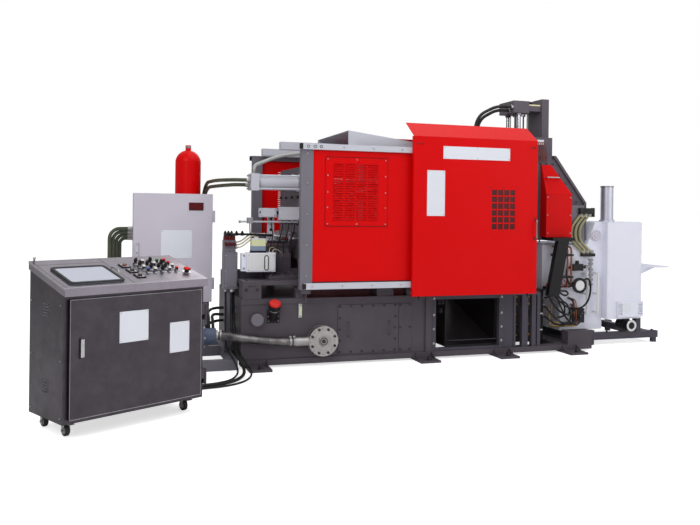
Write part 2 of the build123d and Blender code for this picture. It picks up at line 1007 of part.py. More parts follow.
def guard_arms():
    """Arms that carry both guards out from the base."""
    with BuildPart() as arms:
        for x in arm_xs:
            for side in (-1, 1):
                near, far = sorted((side * arm_inner, side * (guard_face - 5)))
                block((x - arm_width / 2, near, guard_low - arm_height), (x + arm_width / 2, far, guard_low))
                near, far = sorted((side * arm_inner, side * base_half))
                block((x - arm_width / 2, near, base_top), (x + arm_width / 2, far, guard_low - arm_height))
    return arms.part


def sliding_door():
    """Sheet pan door with a hood folded back over the rail and a barred window."""
    face = -door_face
    inner = face + door_return
    hood_run = Vector(door_face - hood_y, hood_top - door_fold)
    hood_normal = Vector(hood_run.Y, -hood_run.X).normalized() * sheet
    fold_inset = sheet * tan((hood_run.get_angle(Vector(0, 1))) * pi / 360)
    outline = ((face, door_low), (face, door_fold), (-hood_y, hood_top),
               (-hood_y + hood_normal.X, hood_top + hood_normal.Y),
               (face + sheet, door_fold - fold_inset), (face + sheet, door_low + sheet),
               (inner, door_low + sheet), (inner, door_low))
    with BuildPart() as door:
        cross_plate(outline, door_left, door_right - door_left)
        for x in (door_left, door_right - sheet):
            block((x, face + sheet, door_low + sheet), (x + sheet, inner, door_fold))
        pitch_x = (window_right - window_left) / window_columns
        pitch_z = (window_high - window_low) / window_rows
        with BuildSketch(Plane.XZ.offset(door_face)) as openings:
            with Locations(((window_left + window_right) / 2, (window_low + window_high) / 2)):
                with GridLocations(pitch_x, pitch_z, window_columns, window_rows):
                    Rectangle(pitch_x - window_bar, pitch_z - window_bar)
        extrude(openings.sketch, amount=-sheet, mode=Mode.SUBTRACT)
        for x in hanger_xs:
            low = (x - hanger_width / 2, face + sheet, upper_rail_high + seat_gap)
            block(low, (x + hanger_width / 2, -guard_face - 3, hanger_high))
        grip((handle_x, face, handle_low), (0, -1, 0), (0, 0, 1), handle_reach, handle_height, handle_radius)
    return door.part


# Roof


def roof_beams():
    beam_low = guard_high + header_height
    reach = guard_face - header_depth
    with BuildPart() as beams:
        for x in cross_xs:
            block((x - cross_width / 2, -reach, guard_high), (x + cross_width / 2, reach, beam_low))
        half = roof_beam_width / 2
        for y, right in ((roof_beam_y, roof_beam_right), (rear_beam_y, rear_beam_right)):
            block((roof_beam_left, y - half, beam_low), (right, y + half, beam_low + roof_beam_height))
    return beams.part


def roof_cover():
    """Sloped sheet hood over the toggle, open at the clamp end."""
    low = guard_high + header_height
    outline = ((cover_roof_left, low), (cover_roof_right, low), (cover_roof_right, cover_roof_tail),
               (cover_roof_left, cover_roof_peak))
    hollow = ((cover_roof_left, low), (cover_roof_right - sheet, low),
              (cover_roof_right - sheet, cover_roof_tail - sheet),
              (cover_roof_left, cover_roof_peak - sheet))
    with BuildPart() as cover:
        side_plate(outline, cover_roof_front, cover_roof_back - cover_roof_front)
        depth = cover_roof_back - cover_roof_front - 2 * sheet
        side_plate(hollow, cover_roof_front + sheet, depth, mode=Mode.SUBTRACT)
    return cover.part


# Open bay and chute


def bay_frame():
    """Welded bar frame round the open bay under the die."""
    with BuildPart() as frame:
        block((bay_left, -base_half, beam_top), (bay_right, base_half, base_top))
        block((bay_left + bay_bar, -base_half, bay_low),
              (bay_right - bay_bar, base_half, base_top - bay_bar),
              mode=Mode.SUBTRACT)
        block((bay_left, -base_half + bay_bar, bay_low),
              (bay_right, base_half - bay_bar, base_top - bay_bar),
              mode=Mode.SUBTRACT)
        block((bay_left + bay_bar, -base_half + bay_bar, beam_top),
              (bay_right - bay_bar, base_half - bay_bar, base_top),
              mode=Mode.SUBTRACT)
    return frame.part


def chute():
    """Sloped chute that brings castings to the front, between two side sheets."""
    front = -base_half + bay_bar
    back = base_half - bay_bar
    with BuildPart() as slope:
        for x in (chute_left, chute_right - chute_sheet):
            block((x, front, bay_low), (x + chute_sheet, back, chute_high - bay_bar + 20))
        outline = ((front, bay_low), (front + 30, bay_low), (back, chute_high - 60), (back, chute_high - 48),
                   (front, bay_low + 14))
        cross_plate(outline, chute_left + chute_sheet, chute_right - chute_left - 2 * chute_sheet)
    return slope.part


# Pedestal and manifold


def pedestal():
    """Cast pedestal that carries the fixed platen."""
    with BuildPart() as casting:
        block((pedestal_left, -pedestal_half, beam_top), (pedestal_right, pedestal_half, base_top))
    return casting.part


def water_manifold():
    """Cooling water bars on the front of the pedestal bay, behind a side plate."""
    front = -base_half
    back = front + manifold_depth
    with BuildPart() as manifold:
        block((bay_right, front + 8, beam_top),
              (manifold_plate_right, front + 8 + manifold_plate_thick, manifold_high))
        for near, far in manifold_bars:
            block((near, front, beam_top), (far, back, manifold_high))
        right = manifold_bars[-1][1]
        block((bay_right, front, manifold_high), (right, back, base_top))
        block((bay_right, back, manifold_high), (manifold_plate_right, -pedestal_half, base_top))
    return manifold.part


# Injection unit


def injection_cheeks():
    """Two side plates behind the fixed platen, with a raised flange along the sloped edge."""
    platen_right = fixed_platen_left + fixed_platen_thick
    outline = ((platen_right, arm_low), (cheek_left, arm_low - 60), (cheek_left, cheek_low),
               (cheek_right, cheek_low),
               (cheek_right, cheek_shoulder), (cheek_top_x, cheek_top), (cheek_left, cheek_top),
               (cheek_left, arm_high + 60), (platen_right, arm_high))
    strip = ((cheek_right, cheek_low), (cheek_right, cheek_shoulder), (cheek_top_x, cheek_top),
             (cheek_top_x - 33, cheek_top), (cheek_right - cheek_flange_width, cheek_shoulder - 7),
             (cheek_right - cheek_flange_width, cheek_low))
    with BuildPart() as cheeks:
        side_plate(outline, -cheek_y, cheek_thick)
        side_plate(strip, -cheek_y - cheek_flange, cheek_flange)
        side_plate(outline, cheek_y - cheek_thick, cheek_thick)
        side_plate(strip, cheek_y, cheek_flange)
    return cheeks.part


def injection_head():
    """Head block between the cheeks, with the tall column, the yoke and its arm."""
    half = cheek_y - cheek_thick
    with BuildPart() as head:
        block((head_left, -half, head_low), (head_right, half, head_high))
        block((column_left, -column_half, head_high), (column_right, column_half, column_top))
        block((column_right, -column_half + 30, cap_low),
              (column_right + cap_thick, column_half - 30, cap_high))
        block((yoke_left, -column_half, yoke_low), (yoke_right, column_half, yoke_high))
        block((yoke_right, -column_half + 20, yoke_arm_low), (column_left, column_half - 20, yoke_arm_high))
    return head.part


def shot_cylinder():
    """Injection cylinder under the yoke, with its guide rods."""
    with BuildPart() as cylinder:
        rise = yoke_low - head_high
        bar((shot_x - 30, 0, head_high), (0, 0, 1), rise, shot_radius)
        for y in (-guide_y, guide_y):
            bar((guide_x, y, head_high), (0, 0, 1), rise, guide_radius)
    return cylinder.part


def nozzle_guard():
    """Folded sheet guard in front of the nozzle, with a sloped upper part."""
    front = nozzle_face
    with BuildPart() as guard:
        side_plate(((nozzle_left, nozzle_low), (nozzle_right, nozzle_low), (nozzle_right, nozzle_shoulder),
                    (nozzle_left, nozzle_shoulder)), front, sheet)
        block((nozzle_right - sheet, front, nozzle_low), (nozzle_right, nozzle_back, nozzle_shoulder))
        block((nozzle_left, front, nozzle_low), (nozzle_left + sheet, nozzle_back, nozzle_shoulder))
        with BuildSketch(Plane.XY.offset(nozzle_shoulder)) as lower:
            with Locations(((nozzle_left + nozzle_right) / 2, (front + nozzle_back) / 2)):
                Rectangle(nozzle_right - nozzle_left, nozzle_back - front)
        with BuildSketch(Plane.XY.offset(nozzle_top)) as upper:
            with Locations(((nozzle_left + nozzle_top_right) / 2, nozzle_back - 6)):
                Rectangle(nozzle_top_right - nozzle_left, 12)
        loft(sections=[lower.sketch, upper.sketch])
    return guard.part


def furnace_brace():
    """Slanted brace from the pedestal up to the injection cheeks."""
    back = brace_front + brace_thick
    outline = ((brace_low_x, base_top - 60), (brace_low_x + brace_width, base_top - 60),
               (brace_top_x + brace_width, cheek_low), (brace_top_x, cheek_low))
    with BuildPart() as brace:
        side_plate(outline, brace_front, brace_thick)
        block((brace_top_x - 60, brace_front, cheek_low),
              (brace_top_x + brace_width + 60, -cheek_y, cheek_low + 30))
    return brace.part


# Furnace


def furnace_body():
    """Insulated holding furnace, stepped round the pot, with a hopper cheek, a port and a vented box."""
    with BuildPart() as furnace:
        block((furnace_join, furnace_front, furnace_low), (furnace_right, furnace_back, furnace_top))
        fillet(furnace.edges().filter_by(Axis.Z), radius=furnace_corner)
        block((furnace_step, furnace_side, furnace_pot_low), (furnace_join, furnace_back, furnace_pot_top))
        block((furnace_left, furnace_side, base_top + 15), (furnace_step, furnace_back, furnace_pot_top))
        side_plate(((hopper_left, furnace_pot_top), (furnace_join, furnace_pot_top),
                    (furnace_join, furnace_top),
                    (hopper_left + hopper_lean, furnace_top)), furnace_side, furnace_back - furnace_side)
        start = (hopper_left + hopper_lean, furnace_side - 2 * seat_rim, port_flange_z)
        bar(start, (0, 1, 0), 2 * seat_rim, port_flange)
        bar(start, (0, 1, 0), seat_rim, port_flange / 2, mode=Mode.SUBTRACT)
        face = furnace_front - box_reach
        block((box_left, face, box_low), (box_right, furnace_front, box_high))
        with BuildSketch(Plane.XZ.offset(-face)) as vents:
            for x in (box_left + vent_margin + vent_width / 2, box_right - vent_margin - vent_width / 2):
                with Locations((x, (box_low + box_high) / 2)):
                    with GridLocations(1, vent_pitch, 1, vent_count):
                        Rectangle(vent_width, vent_pitch / 2)
        extrude(vents.sketch, amount=-box_reach / 2, mode=Mode.SUBTRACT)
    return furnace.part


def chimney():
    """Round flue pipe with a collar where it leaves the furnace."""
    with BuildPart() as duct:
        with BuildSketch(Plane.XY.offset(furnace_top)):
            with Locations((chimney_x, chimney_y)):
                Circle(chimney_radius + chimney_collar)
                Circle(chimney_radius - sheet, mode=Mode.SUBTRACT)
        extrude(amount=chimney_collar_height)
        with BuildSketch(Plane.XY.offset(furnace_top + chimney_collar_height)):
            with Locations((chimney_x, chimney_y)):
                Circle(chimney_radius)
                Circle(chimney_radius - sheet, mode=Mode.SUBTRACT)
        extrude(amount=chimney_top - furnace_top - chimney_collar_height)
    return duct.part


def furnace_skid():
    """Two skid beams on round feet, with legs up to the furnace."""
    with BuildPart() as skid:
        for side in (-1, 1):
            y = side * skid_y
            near, far = y - skid_wide / 2, y + skid_wide / 2
            block((base_right + seat_gap, near, skid_low), (skid_right, far, skid_top))
            for x, top in ((base_right + 160, furnace_pot_low), (furnace_right - leg_side, furnace_low)):
                block((x, y - leg_side / 2, skid_top), (x + leg_side, y + leg_side / 2, top))
            for x in (base_right + 200, skid_right - foot_radius):
                bar((x, y, 0), (0, 0, 1), skid_low, foot_radius)
        for x in (base_right + 60, skid_right - 2 * skid_wide):
            block((x, -skid_y, skid_low), (x + skid_wide, skid_y, skid_top))
    return skid.part


def burner_blower():
    """Burner blower between the skids, under the furnace."""
    with BuildPart() as blower:
        bar((blower_x, furnace_front + 20, blower_z), (0, 1, 0), blower_length, blower_radius)
        bar((blower_x, furnace_front, blower_z), (0, 1, 0), 20, blower_radius * 0.6)
        block((blower_x - 40, furnace_front + 40, blower_z),
              (blower_x + 40, furnace_front + 120, furnace_low))
    return blower.part


def ingot_shelf():
    """Thin shelf for ingots on the end of the furnace."""
    with BuildPart() as shelf:
        block((furnace_right, -shelf_half, shelf_z - shelf_thick), (shelf_right, shelf_half, shelf_z))
        for y in (-shelf_half, shelf_half - shelf_thick):
            side_plate(((furnace_right, shelf_z - shelf_thick), (furnace_right + 200, shelf_z - shelf_thick),
                        (furnace_right, shelf_z - 160)), y, shelf_thick)
    return shelf.part


# Cabinet and pump unit


def hinge_stack(x, y, low, high, on_door):
    """Two hinge knuckles; the pin belongs to the fixed side."""
    for z in (low, high):
        outer = hinge_pin + hinge_wall
        if on_door:
            bar((x, y, z), (0, 0, 1), hinge_knuckle, outer)
            bar((x, y, z), (0, 0, 1), hinge_knuckle, hinge_pin + seat_gap, mode=Mode.SUBTRACT)
        else:
            bar((x, y, z - hinge_knuckle / 2), (0, 0, 1), hinge_knuckle / 2 - seat_gap, outer)
            bar((x, y, z - hinge_knuckle / 2), (0, 0, 1), hinge_knuckle * 1.5, hinge_pin)


def cabinet_body():
    wall = cabinet_sheet
    hinge_x = cabinet_right + hinge_pin + hinge_wall
    hinge_y = cabinet_front - slide_gap - cabinet_door_depth / 2
    with BuildPart() as cabinet:
        block((cabinet_left, cabinet_front, cabinet_low), (cabinet_right, cabinet_back, cabinet_high))
        block((cabinet_left + wall, cabinet_front + wall, cabinet_low + wall),
              (cabinet_right - wall, cabinet_back - wall, cabinet_high - wall), mode=Mode.SUBTRACT)
        block((cabinet_left + cabinet_lip, cabinet_front, cabinet_low + cabinet_lip),
              (cabinet_right - cabinet_lip, cabinet_front + wall, cabinet_high - cabinet_lip),
              mode=Mode.SUBTRACT)
        for z in cabinet_hinge_zs:
            low_z = z - hinge_knuckle / 2
            block((cabinet_right, hinge_y, low_z), (hinge_x, cabinet_front + 30, z - seat_gap))
        hinge_stack(hinge_x, hinge_y, *cabinet_hinge_zs, False)
    return cabinet.part


def cabinet_door():
    wall = cabinet_sheet
    back = cabinet_front - slide_gap
    front = back - cabinet_door_depth
    hinge_x = cabinet_right + hinge_pin + hinge_wall
    hinge_y = cabinet_front - slide_gap - cabinet_door_depth / 2
    with BuildPart() as door:
        block((cabinet_left, front, cabinet_low), (cabinet_right - 3, back, cabinet_high))
        block((cabinet_left + wall, front + wall, cabinet_low + wall),
              (cabinet_right - 3 - wall, back, cabinet_high - wall),
              mode=Mode.SUBTRACT)
        for z in cabinet_hinge_zs:
            block((cabinet_right - 3 - wall, hinge_y - 3, z), (hinge_x, hinge_y + 3, z + hinge_knuckle))
        hinge_stack(hinge_x, hinge_y, *cabinet_hinge_zs, True)
        block((cabinet_left + latch_inset, front - latch_proud, latch_low),
              (cabinet_left + latch_inset + latch_width, front, latch_low + latch_height))
    return door.part


def pump_stand():
    """Channel stand that carries the cabinet, the accumulator and the pump unit."""
    with BuildPart() as stand:
        for y in (stand_front, cabinet_front + 20, stand_back - stand_post):
            block((stand_left, y, 0), (stand_right, y + stand_post, stand_rail))
        for x in (stand_left, stand_right - stand_post):
            block((x, stand_front, 0), (x + stand_post, stand_back, stand_rail))
        for x in (stand_left + 20, cabinet_right - stand_post - 20):
            for y in (cabinet_front + 20, stand_back - stand_post):
                block((x, y, stand_rail), (x + stand_post, y + stand_post, cabinet_low - stand_base))
        block((stand_left + 20, cabinet_front + 20, cabinet_low - stand_base),
              (cabinet_right - 20, stand_back, cabinet_low))
        block((stand_left, bundle_y - bundle_pitch, stand_rail),
              (stand_left + bundle_block, bundle_y + bundle_count * bundle_pitch, stand_rail + bundle_block))
    return stand.part


def pump_motor():
    """Finned electric motor on its foot, with a terminal box and a flanged pump."""
    left = motor_x - motor_length / 2
    frame_radius = motor_radius - motor_fin_height
    with BuildPart() as motor:
        bar((left, motor_y, motor_z), (1, 0, 0), motor_length, frame_radius)
        fin_plane = Plane(origin=(left + motor_length / 2, motor_y, motor_z), z_dir=(1, 0, 0))
        with Locations(fin_plane):
            with PolarLocations(frame_radius, motor_fins):
                Box(2 * motor_fin_height, motor_fin_thick, motor_length * 0.7)
        for x in (left, left + motor_length - 2 * motor_fin_height):
            bar((x, motor_y, motor_z), (1, 0, 0), 2 * motor_fin_height, motor_radius)
        block((left + 30, motor_y - 110, stand_rail),
              (left + motor_length - 30, motor_y + 110, stand_rail + 20))
        block((left + 60, motor_y - 70, stand_rail), (left + motor_length - 60, motor_y + 70, motor_z))
        block((left + 60, motor_y - terminal_box / 2, motor_z),
              (left + 60 + terminal_box, motor_y + terminal_box / 2,
               motor_z + motor_radius + terminal_box / 2))
        bar((left + motor_length, motor_y, motor_z), (1, 0, 0), pump_length / 4, motor_radius * 0.9)
        bar((left + motor_length, motor_y, motor_z), (1, 0, 0), pump_length, pump_radius)
    return motor.part


def accumulator():
    """Nitrogen bottle with a domed top and its valve nipple."""
    with BuildPart() as bottle:
        with BuildSketch(Plane.XZ.offset(-accumulator_y)) as outline:
            with BuildLine():
                dome = accumulator_high - accumulator_radius * 0.9
                x = accumulator_x
                Line((x, accumulator_low), (x + accumulator_radius, accumulator_low))
                Line((x + accumulator_radius, accumulator_low), (x + accumulator_radius, dome))
                RadiusArc((x + accumulator_radius, dome), (x, accumulator_high), -accumulator_radius * 1.005)
                Line((x, accumulator_high), (x, accumulator_low))
            make_face()
        revolve(axis=Axis((accumulator_x, accumulator_y, 0), (0, 0, 1)))
        bar((accumulator_x, accumulator_y, accumulator_high - 12), (0, 0, 1),
            accumulator_nipple_top - accumulator_high + 12, accumulator_nipple)
        bar((accumulator_x, accumulator_y, cabinet_low), (0, 0, 1), accumulator_low - cabinet_low,
            accumulator_radius * 0.7)
    return bottle.part


def junction_box():
    """Wiring box on a post at the clamp end, with a block of directional valves on top."""
    block_front = junction_front + 15
    block_top = junction_high + valve_block
    valve_y = (block_front + junction_back) / 2
    with BuildPart() as box:
        block((junction_left, junction_front, junction_low), (junction_right, junction_back, junction_high))
        block((junction_left + 20, junction_back - 60, stand_rail),
              (junction_left + 70, junction_back, junction_low))
        block((junction_left, block_front, junction_high),
              (junction_right - 15, junction_back - 10, block_top))
        for step in range(valve_count):
            x = junction_left + (step + 0.5) * (junction_width - 15) / valve_count
            bar((x, block_front - valve_reach, block_top - valve_block / 3), (0, 1, 0), valve_reach,
                valve_radius)
            bar((x, valve_y, block_top), (0, 0, 1), valve_reach / 2, valve_radius * 0.8)
    return box.part


def lubricator():
    """Central lubricator with a square reservoir on top."""
    back = lubricator_front + lubricator_depth
    with BuildPart() as unit:
        block((lubricator_left + lubricator_side, lubricator_front, lubricator_low),
              (lubricator_right, back, lubricator_high))
        block((lubricator_left, lubricator_front + 30, lubricator_low + 5),
              (lubricator_left + lubricator_side, back, lubricator_high - 5))
        block((reservoir_left, lubricator_front + 15, lubricator_high),
              (reservoir_left + reservoir_width, back - 10, reservoir_high))
        block((reservoir_left, back, lubricator_low + 30),
              (tail_left + 20, -tail_half, lubricator_high - 20))
    return unit.part


def tube(points, radii, diameter):
    """A round tube along straight runs joined by arcs."""
    start = Vector(*points[0])
    with BuildPart() as pipe:
        with BuildLine():
            route = FilletPolyline(*points, radius=radii)
        with BuildSketch(Plane(origin=start, z_dir=Vector(*points[1]) - start)):
            Circle(diameter / 2)
        sweep(path=route)
    return pipe.part


def cabinet_hose(step):
    """One hose of the bundle that arcs out beside the cabinet and comes back to the stand."""
    y = bundle_y + step * bundle_pitch
    top = bundle_top - step * bundle_drop
    reach = cabinet_left - bundle_reach + step * bundle_drop
    end_z = stand_rail + bundle_block / 2
    return (cabinet_left, y, top), (reach, y, top), (reach, y, end_z), (stand_left, y, end_z)


def hydraulic_hoses():
    """Hoses of the clamp cylinder, the return hose to the roof and the bundle beside the cabinet."""
    routes = clamp_hose_routes + tuple(cabinet_hose(step) for step in range(bundle_count))
    return Compound(children=[tube(route, corner_radii(route), hose_diameter) for route in routes])


def injection_hoses():
    """Conduits over to the yoke and the bent hoses between their two end blocks, beside the furnace."""
    hoses = [tube(route, corner_radii(route), hose_diameter) for route in conduit_routes]
    top = cheek_low + arc_rise
    for x in arc_xs:
        low_x = x + arc_drift
        bulge = x - arc_bulge
        route = ((x, arc_y, top), (bulge, arc_y, top - arc_rise * 0.5), (bulge, arc_y, top - arc_rise),
                 (low_x, arc_y, top - arc_rise * 1.5))
        hoses.append(tube(route, corner_radii(route), arc_diameter))
    with BuildPart() as ends:
        left = arc_xs[0] - arc_diameter
        right = arc_xs[-1] + arc_diameter
        block((left, arc_y - 22, top + seat_gap), (right, -cheek_y - cheek_flange, top + arc_block))
        low = top - arc_rise * 1.5 - seat_gap
        block((left + arc_drift, arc_y - 22, low - arc_block / 2), (right + arc_drift, furnace_side, low))
    return Compound(children=hoses + [ends.part])


def suction_hose():
    """Suction line from the pump to the strainer, in straight and curved runs."""
    start = (motor_x + motor_length / 2 + pump_length, motor_y, motor_z)
    path = (start, (start[0] + 80, motor_y, motor_z), (start[0] + 150, suction_y, motor_z),
            (stub_left - 120, suction_y, strainer_z), (stub_left, suction_y, strainer_z))
    return tube(path, suction_bend, 2 * suction_radius)


# Console

console_along = (cos(radians(console_turn)), sin(radians(console_turn)), 0)
console_floor = Plane(origin=(console_x, console_y, 0), x_dir=console_along)
console_hinge_x = console_half + hinge_pin + hinge_wall
console_hinge_y = -console_depth - slide_gap - console_door_depth / 2
console_hinge_zs = (console_door_low + 100, console_door_high - 170)


def console_profile(mode, inset):
    """Side outline of the console box, drawn across its width."""
    slope = (console_back_top - console_front_top) / (2 * console_depth)
    front = -console_depth + inset
    back = console_depth - inset
    front_top = console_front_top + slope * inset - inset
    back_top = console_back_top - slope * inset - inset
    width = 2 * (console_half - inset)
    with BuildSketch(console_floor * Plane.YZ.offset(-console_half + inset)) as outline:
        with BuildLine():
            Polyline((front, console_low + inset), (back, console_low + inset), (back, back_top),
                     (front, front_top),
                     close=True)
        make_face()
    extrude(outline.sketch, amount=width, mode=mode)


def console_body():
    """Folded sheet console, open at the front behind its door."""
    with BuildPart(console_floor) as shell:
        console_profile(Mode.ADD, 0)
        console_profile(Mode.SUBTRACT, console_sheet)
        edge = console_door_half - console_lip
        block((-edge, -console_depth - 1, console_door_low + console_lip),
              (edge, -console_depth + console_sheet + 1, console_door_high - console_lip),
              mode=Mode.SUBTRACT)
        for z in console_hinge_zs:
            block((console_half - console_sheet, console_hinge_y, z - hinge_knuckle / 2),
                  (console_hinge_x, -console_depth + 30, z - seat_gap))
        hinge_stack(console_hinge_x, console_hinge_y, *console_hinge_zs, False)
        bar((gland_x, console_depth, gland_z), (0, 1, 0), gland_length, gland_radius)
        for x in (-caster_x, caster_x):
            for y in (-caster_y, caster_y):
                block((x - caster_pad, y - caster_pad, console_low - caster_plate),
                      (x + caster_pad, y + caster_pad, console_low))
    return shell.part


def console_door():
    wall = console_sheet
    back = -console_depth - slide_gap
    front = back - console_door_depth
    half = console_door_half
    with BuildPart(console_floor) as door:
        block((-half, front, console_door_low), (half, back, console_door_high))
        block((-half + wall, front + wall, console_door_low + wall),
              (half - wall, back, console_door_high - wall),
              mode=Mode.SUBTRACT)
        for z in console_hinge_zs:
            block((half - wall, console_hinge_y - 3, z),
                  (console_hinge_x, console_hinge_y + 3, z + hinge_knuckle))
        hinge_stack(console_hinge_x, console_hinge_y, *console_hinge_zs, True)
        block((-half + key_inset, front - key_proud, key_low),
              (-half + key_inset + key_width, front, key_low + key_height))
    return door.part


def lid_plane():
    """The sloped top face of the console lid, with its origin at the middle."""
    run = console_back_top - console_front_top
    rise_per = run / (2 * console_depth)
    front = -console_depth - lid_overhang
    low = console_front_top - rise_per * lid_overhang
    middle = (0, (front + console_depth) / 2, (low + console_back_top) / 2 + lid_thick)
    return console_floor * Plane(origin=middle, x_dir=(1, 0, 0), z_dir=(0, -rise_per, 1))


def console_lid():
    rise_per = (console_back_top - console_front_top) / (2 * console_depth)
    front = -console_depth - lid_overhang
    low = console_front_top - rise_per * lid_overhang
    half = console_half + 10
    with BuildPart() as lid:
        with BuildSketch(console_floor * Plane.YZ.offset(-half)):
            with BuildLine():
                Polyline((front, low), (console_depth, console_back_top),
                         (console_depth, console_back_top + lid_thick),
                         (front, low + lid_thick), close=True)
            make_face()
        extrude(amount=2 * half)
    return lid.part


def console_screen():
    with BuildPart(lid_plane()) as screen:
        with Locations((screen_x, screen_y, 0)):
            Box(screen_wide, screen_deep, screen_rise, align=(Align.CENTER, Align.CENTER, Align.MIN))
        fillet(screen.edges().filter_by(Axis((0, 0, 0), Plane(lid_plane()).z_dir)), radius=1.5 * screen_rim)
        with Locations((screen_x, screen_y, screen_rise)):
            Box(screen_wide - 2 * screen_rim, screen_deep - 2 * screen_rim, screen_sink,
                align=(Align.CENTER, Align.CENTER, Align.MAX), mode=Mode.SUBTRACT)
    return screen.part


def console_buttons():
    """Square switch plates, collared push buttons and a mushroom stop button on the lid."""
    with BuildPart(lid_plane()) as buttons:
        with Locations((plate_x, plate_y, 0)):
            with GridLocations(1, plate_pitch, 1, plate_count):
                Box(plate_side, plate_side, plate_thick, align=(Align.CENTER, Align.CENTER, Align.MIN))
        middle = button_left + button_pitch * (button_columns - 1) / 2
        for radius, height in ((button_radius, button_collar), (button_radius * 0.7, button_height)):
            with Locations((middle, button_y, 0)):
                with GridLocations(button_pitch, button_pitch, button_columns, button_rows):
                    Cylinder(radius, height, align=(Align.CENTER, Align.CENTER, Align.MIN))
        with Locations((stop_x, stop_y, 0)):
            Cylinder(button_radius, button_height, align=(Align.CENTER, Align.CENTER, Align.MIN))
        with Locations((stop_x, stop_y, button_height)):
            Cylinder(stop_radius, button_collar, align=(Align.CENTER, Align.CENTER, Align.MIN))
    return buttons.part


def caster_fork(x, y, braked):
    """Swivel fork hung under its plate, with the axle through both cheeks."""
    crown_top = console_low - caster_plate - seat_gap
    crown_low = crown_top - 8
    inner = wheel_width / 2 + fork_side_gap
    with BuildPart(console_floor) as fork:
        bar((x, y, crown_low), (0, 0, 1), crown_top - crown_low, crown_radius)
        block((x - inner - fork_sheet, y - crown_radius + 6, crown_low - fork_sheet),
              (x + inner + fork_sheet, y + caster_trail + 12, crown_low))
        for side in (-1, 1):
            near, far = sorted((x + side * inner, x + side * (inner + fork_sheet)))
            block((near, y + caster_trail - 14, wheel_radius - 12), (far, y + caster_trail + 12, crown_low))
        bar((x - inner, y + caster_trail, wheel_radius), (1, 0, 0), 2 * inner, wheel_bore)
        if braked:
            block((x - inner, y - crown_radius - 26, crown_low - fork_sheet),
                  (x + inner, y - crown_radius + 6, crown_low))
    return fork.part


def caster_wheel(x, y):
    with BuildPart(console_floor) as wheel:
        start = (x - wheel_width / 2, y + caster_trail, wheel_radius)
        bar(start, (1, 0, 0), wheel_width, wheel_radius)
        chamfer(wheel.edges().filter_by(GeomType.CIRCLE), length=3)
        bar(start, (1, 0, 0), wheel_width, wheel_bore + seat_gap, mode=Mode.SUBTRACT)
    return wheel.part


def console_cable():
    """The bundle of leads from the console, as one tube."""
    radii = corner_radii(cable_route)
    lead = tube(cable_route, radii, cable_diameter)
    print("radii", [round(radius) for radius in radii])
    print("length", round(lead.volume / (pi * cable_diameter ** 2 / 4)))
    return lead


pieces = {
    "base_tank": base_tank(),
    "base_beams": base_beams(),
    "tank_fittings": Compound(children=[tank_cover(), tank_fittings()]),
    "breather": breather(),
    "strainer": strainer(),
    "slideway": slideway(),
    "rear_platen": rear_platen(),
    "moving_platen": moving_platen(),
    "fixed_platen": fixed_platen(),
    "tie_bars": tie_bars(),
    "toggle_links": toggle_links(),
    "clamp_tail": clamp_tail(),
    "clamp_cylinder": clamp_cylinder(),
    "switch_rail": switch_rail(),
    "guard_frames": both_sides(guard_frame),
    "guard_panels": both_sides(guard_panel),
    "guard_rails": both_sides(guard_rails),
    "front_door": sliding_door(),
    "rear_door": to_back(sliding_door()),
    "guard_arms": guard_arms(),
    "roof_beams": roof_beams(),
    "roof_cover": roof_cover(),
    "bay_frame": bay_frame(),
    "casting_chute": chute(),
    "platen_pedestal": pedestal(),
    "water_manifold": water_manifold(),
    "injection_cheeks": injection_cheeks(),
    "injection_head": injection_head(),
    "shot_cylinder": shot_cylinder(),
    "nozzle_guard": nozzle_guard(),
    "furnace_brace": furnace_brace(),
    "furnace_body": furnace_body(),
    "chimney": chimney(),
    "furnace_skid": furnace_skid(),
    "burner_blower": burner_blower(),
    "ingot_shelf": ingot_shelf(),
    "cabinet_body": cabinet_body(),
    "cabinet_door": cabinet_door(),
    "pump_stand": pump_stand(),
    "pump_motor": pump_motor(),
    "accumulator": accumulator(),
    "junction_box": junction_box(),
    "lubricator": lubricator(),
    "suction_hose": suction_hose(),
    "console_body": console_body(),
    "console_door": console_door(),
    "console_lid": console_lid(),
    "console_screen": console_screen(),
    "console_buttons": console_buttons(),
    "console_cable": console_cable(),
    "hydraulic_hoses": hydraulic_hoses(),
    "injection_hoses": injection_hoses(),
}
corner = 0
for x in (-caster_x, caster_x):
    for y in (-caster_y, caster_y):
        corner += 1
        pieces[f"caster_fork_{corner}"] = caster_fork(x, y, y < 0)
        pieces[f"caster_wheel_{corner}"] = caster_wheel(x, y)

os.makedirs("parts", exist_ok=True)
for node, piece in pieces.items():
    piece.label = node
    export_step(piece, f"parts/{node}.step")
print(len(pieces), "nodes")
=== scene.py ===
import json
from math import cos, pi, radians, sin, tau

import bmesh
import bpy
from mathutils import Matrix, Vector


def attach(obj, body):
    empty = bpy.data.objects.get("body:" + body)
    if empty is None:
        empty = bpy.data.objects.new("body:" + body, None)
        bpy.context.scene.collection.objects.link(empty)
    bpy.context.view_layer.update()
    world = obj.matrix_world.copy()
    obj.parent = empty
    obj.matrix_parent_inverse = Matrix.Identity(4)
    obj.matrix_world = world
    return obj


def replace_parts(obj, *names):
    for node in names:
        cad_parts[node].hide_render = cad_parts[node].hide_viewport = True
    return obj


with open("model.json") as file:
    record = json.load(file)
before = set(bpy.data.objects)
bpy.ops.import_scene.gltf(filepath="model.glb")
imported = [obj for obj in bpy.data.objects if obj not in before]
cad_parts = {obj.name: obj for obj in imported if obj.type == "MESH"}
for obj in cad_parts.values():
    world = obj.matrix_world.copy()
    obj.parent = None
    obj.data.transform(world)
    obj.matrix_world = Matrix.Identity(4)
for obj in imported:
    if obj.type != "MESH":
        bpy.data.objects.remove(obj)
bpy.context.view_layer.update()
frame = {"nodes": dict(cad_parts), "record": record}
nodes = frame["nodes"]

# Pieces are drawn in millimetres, as in the part's source, and made in metres
millimetre = 0.001

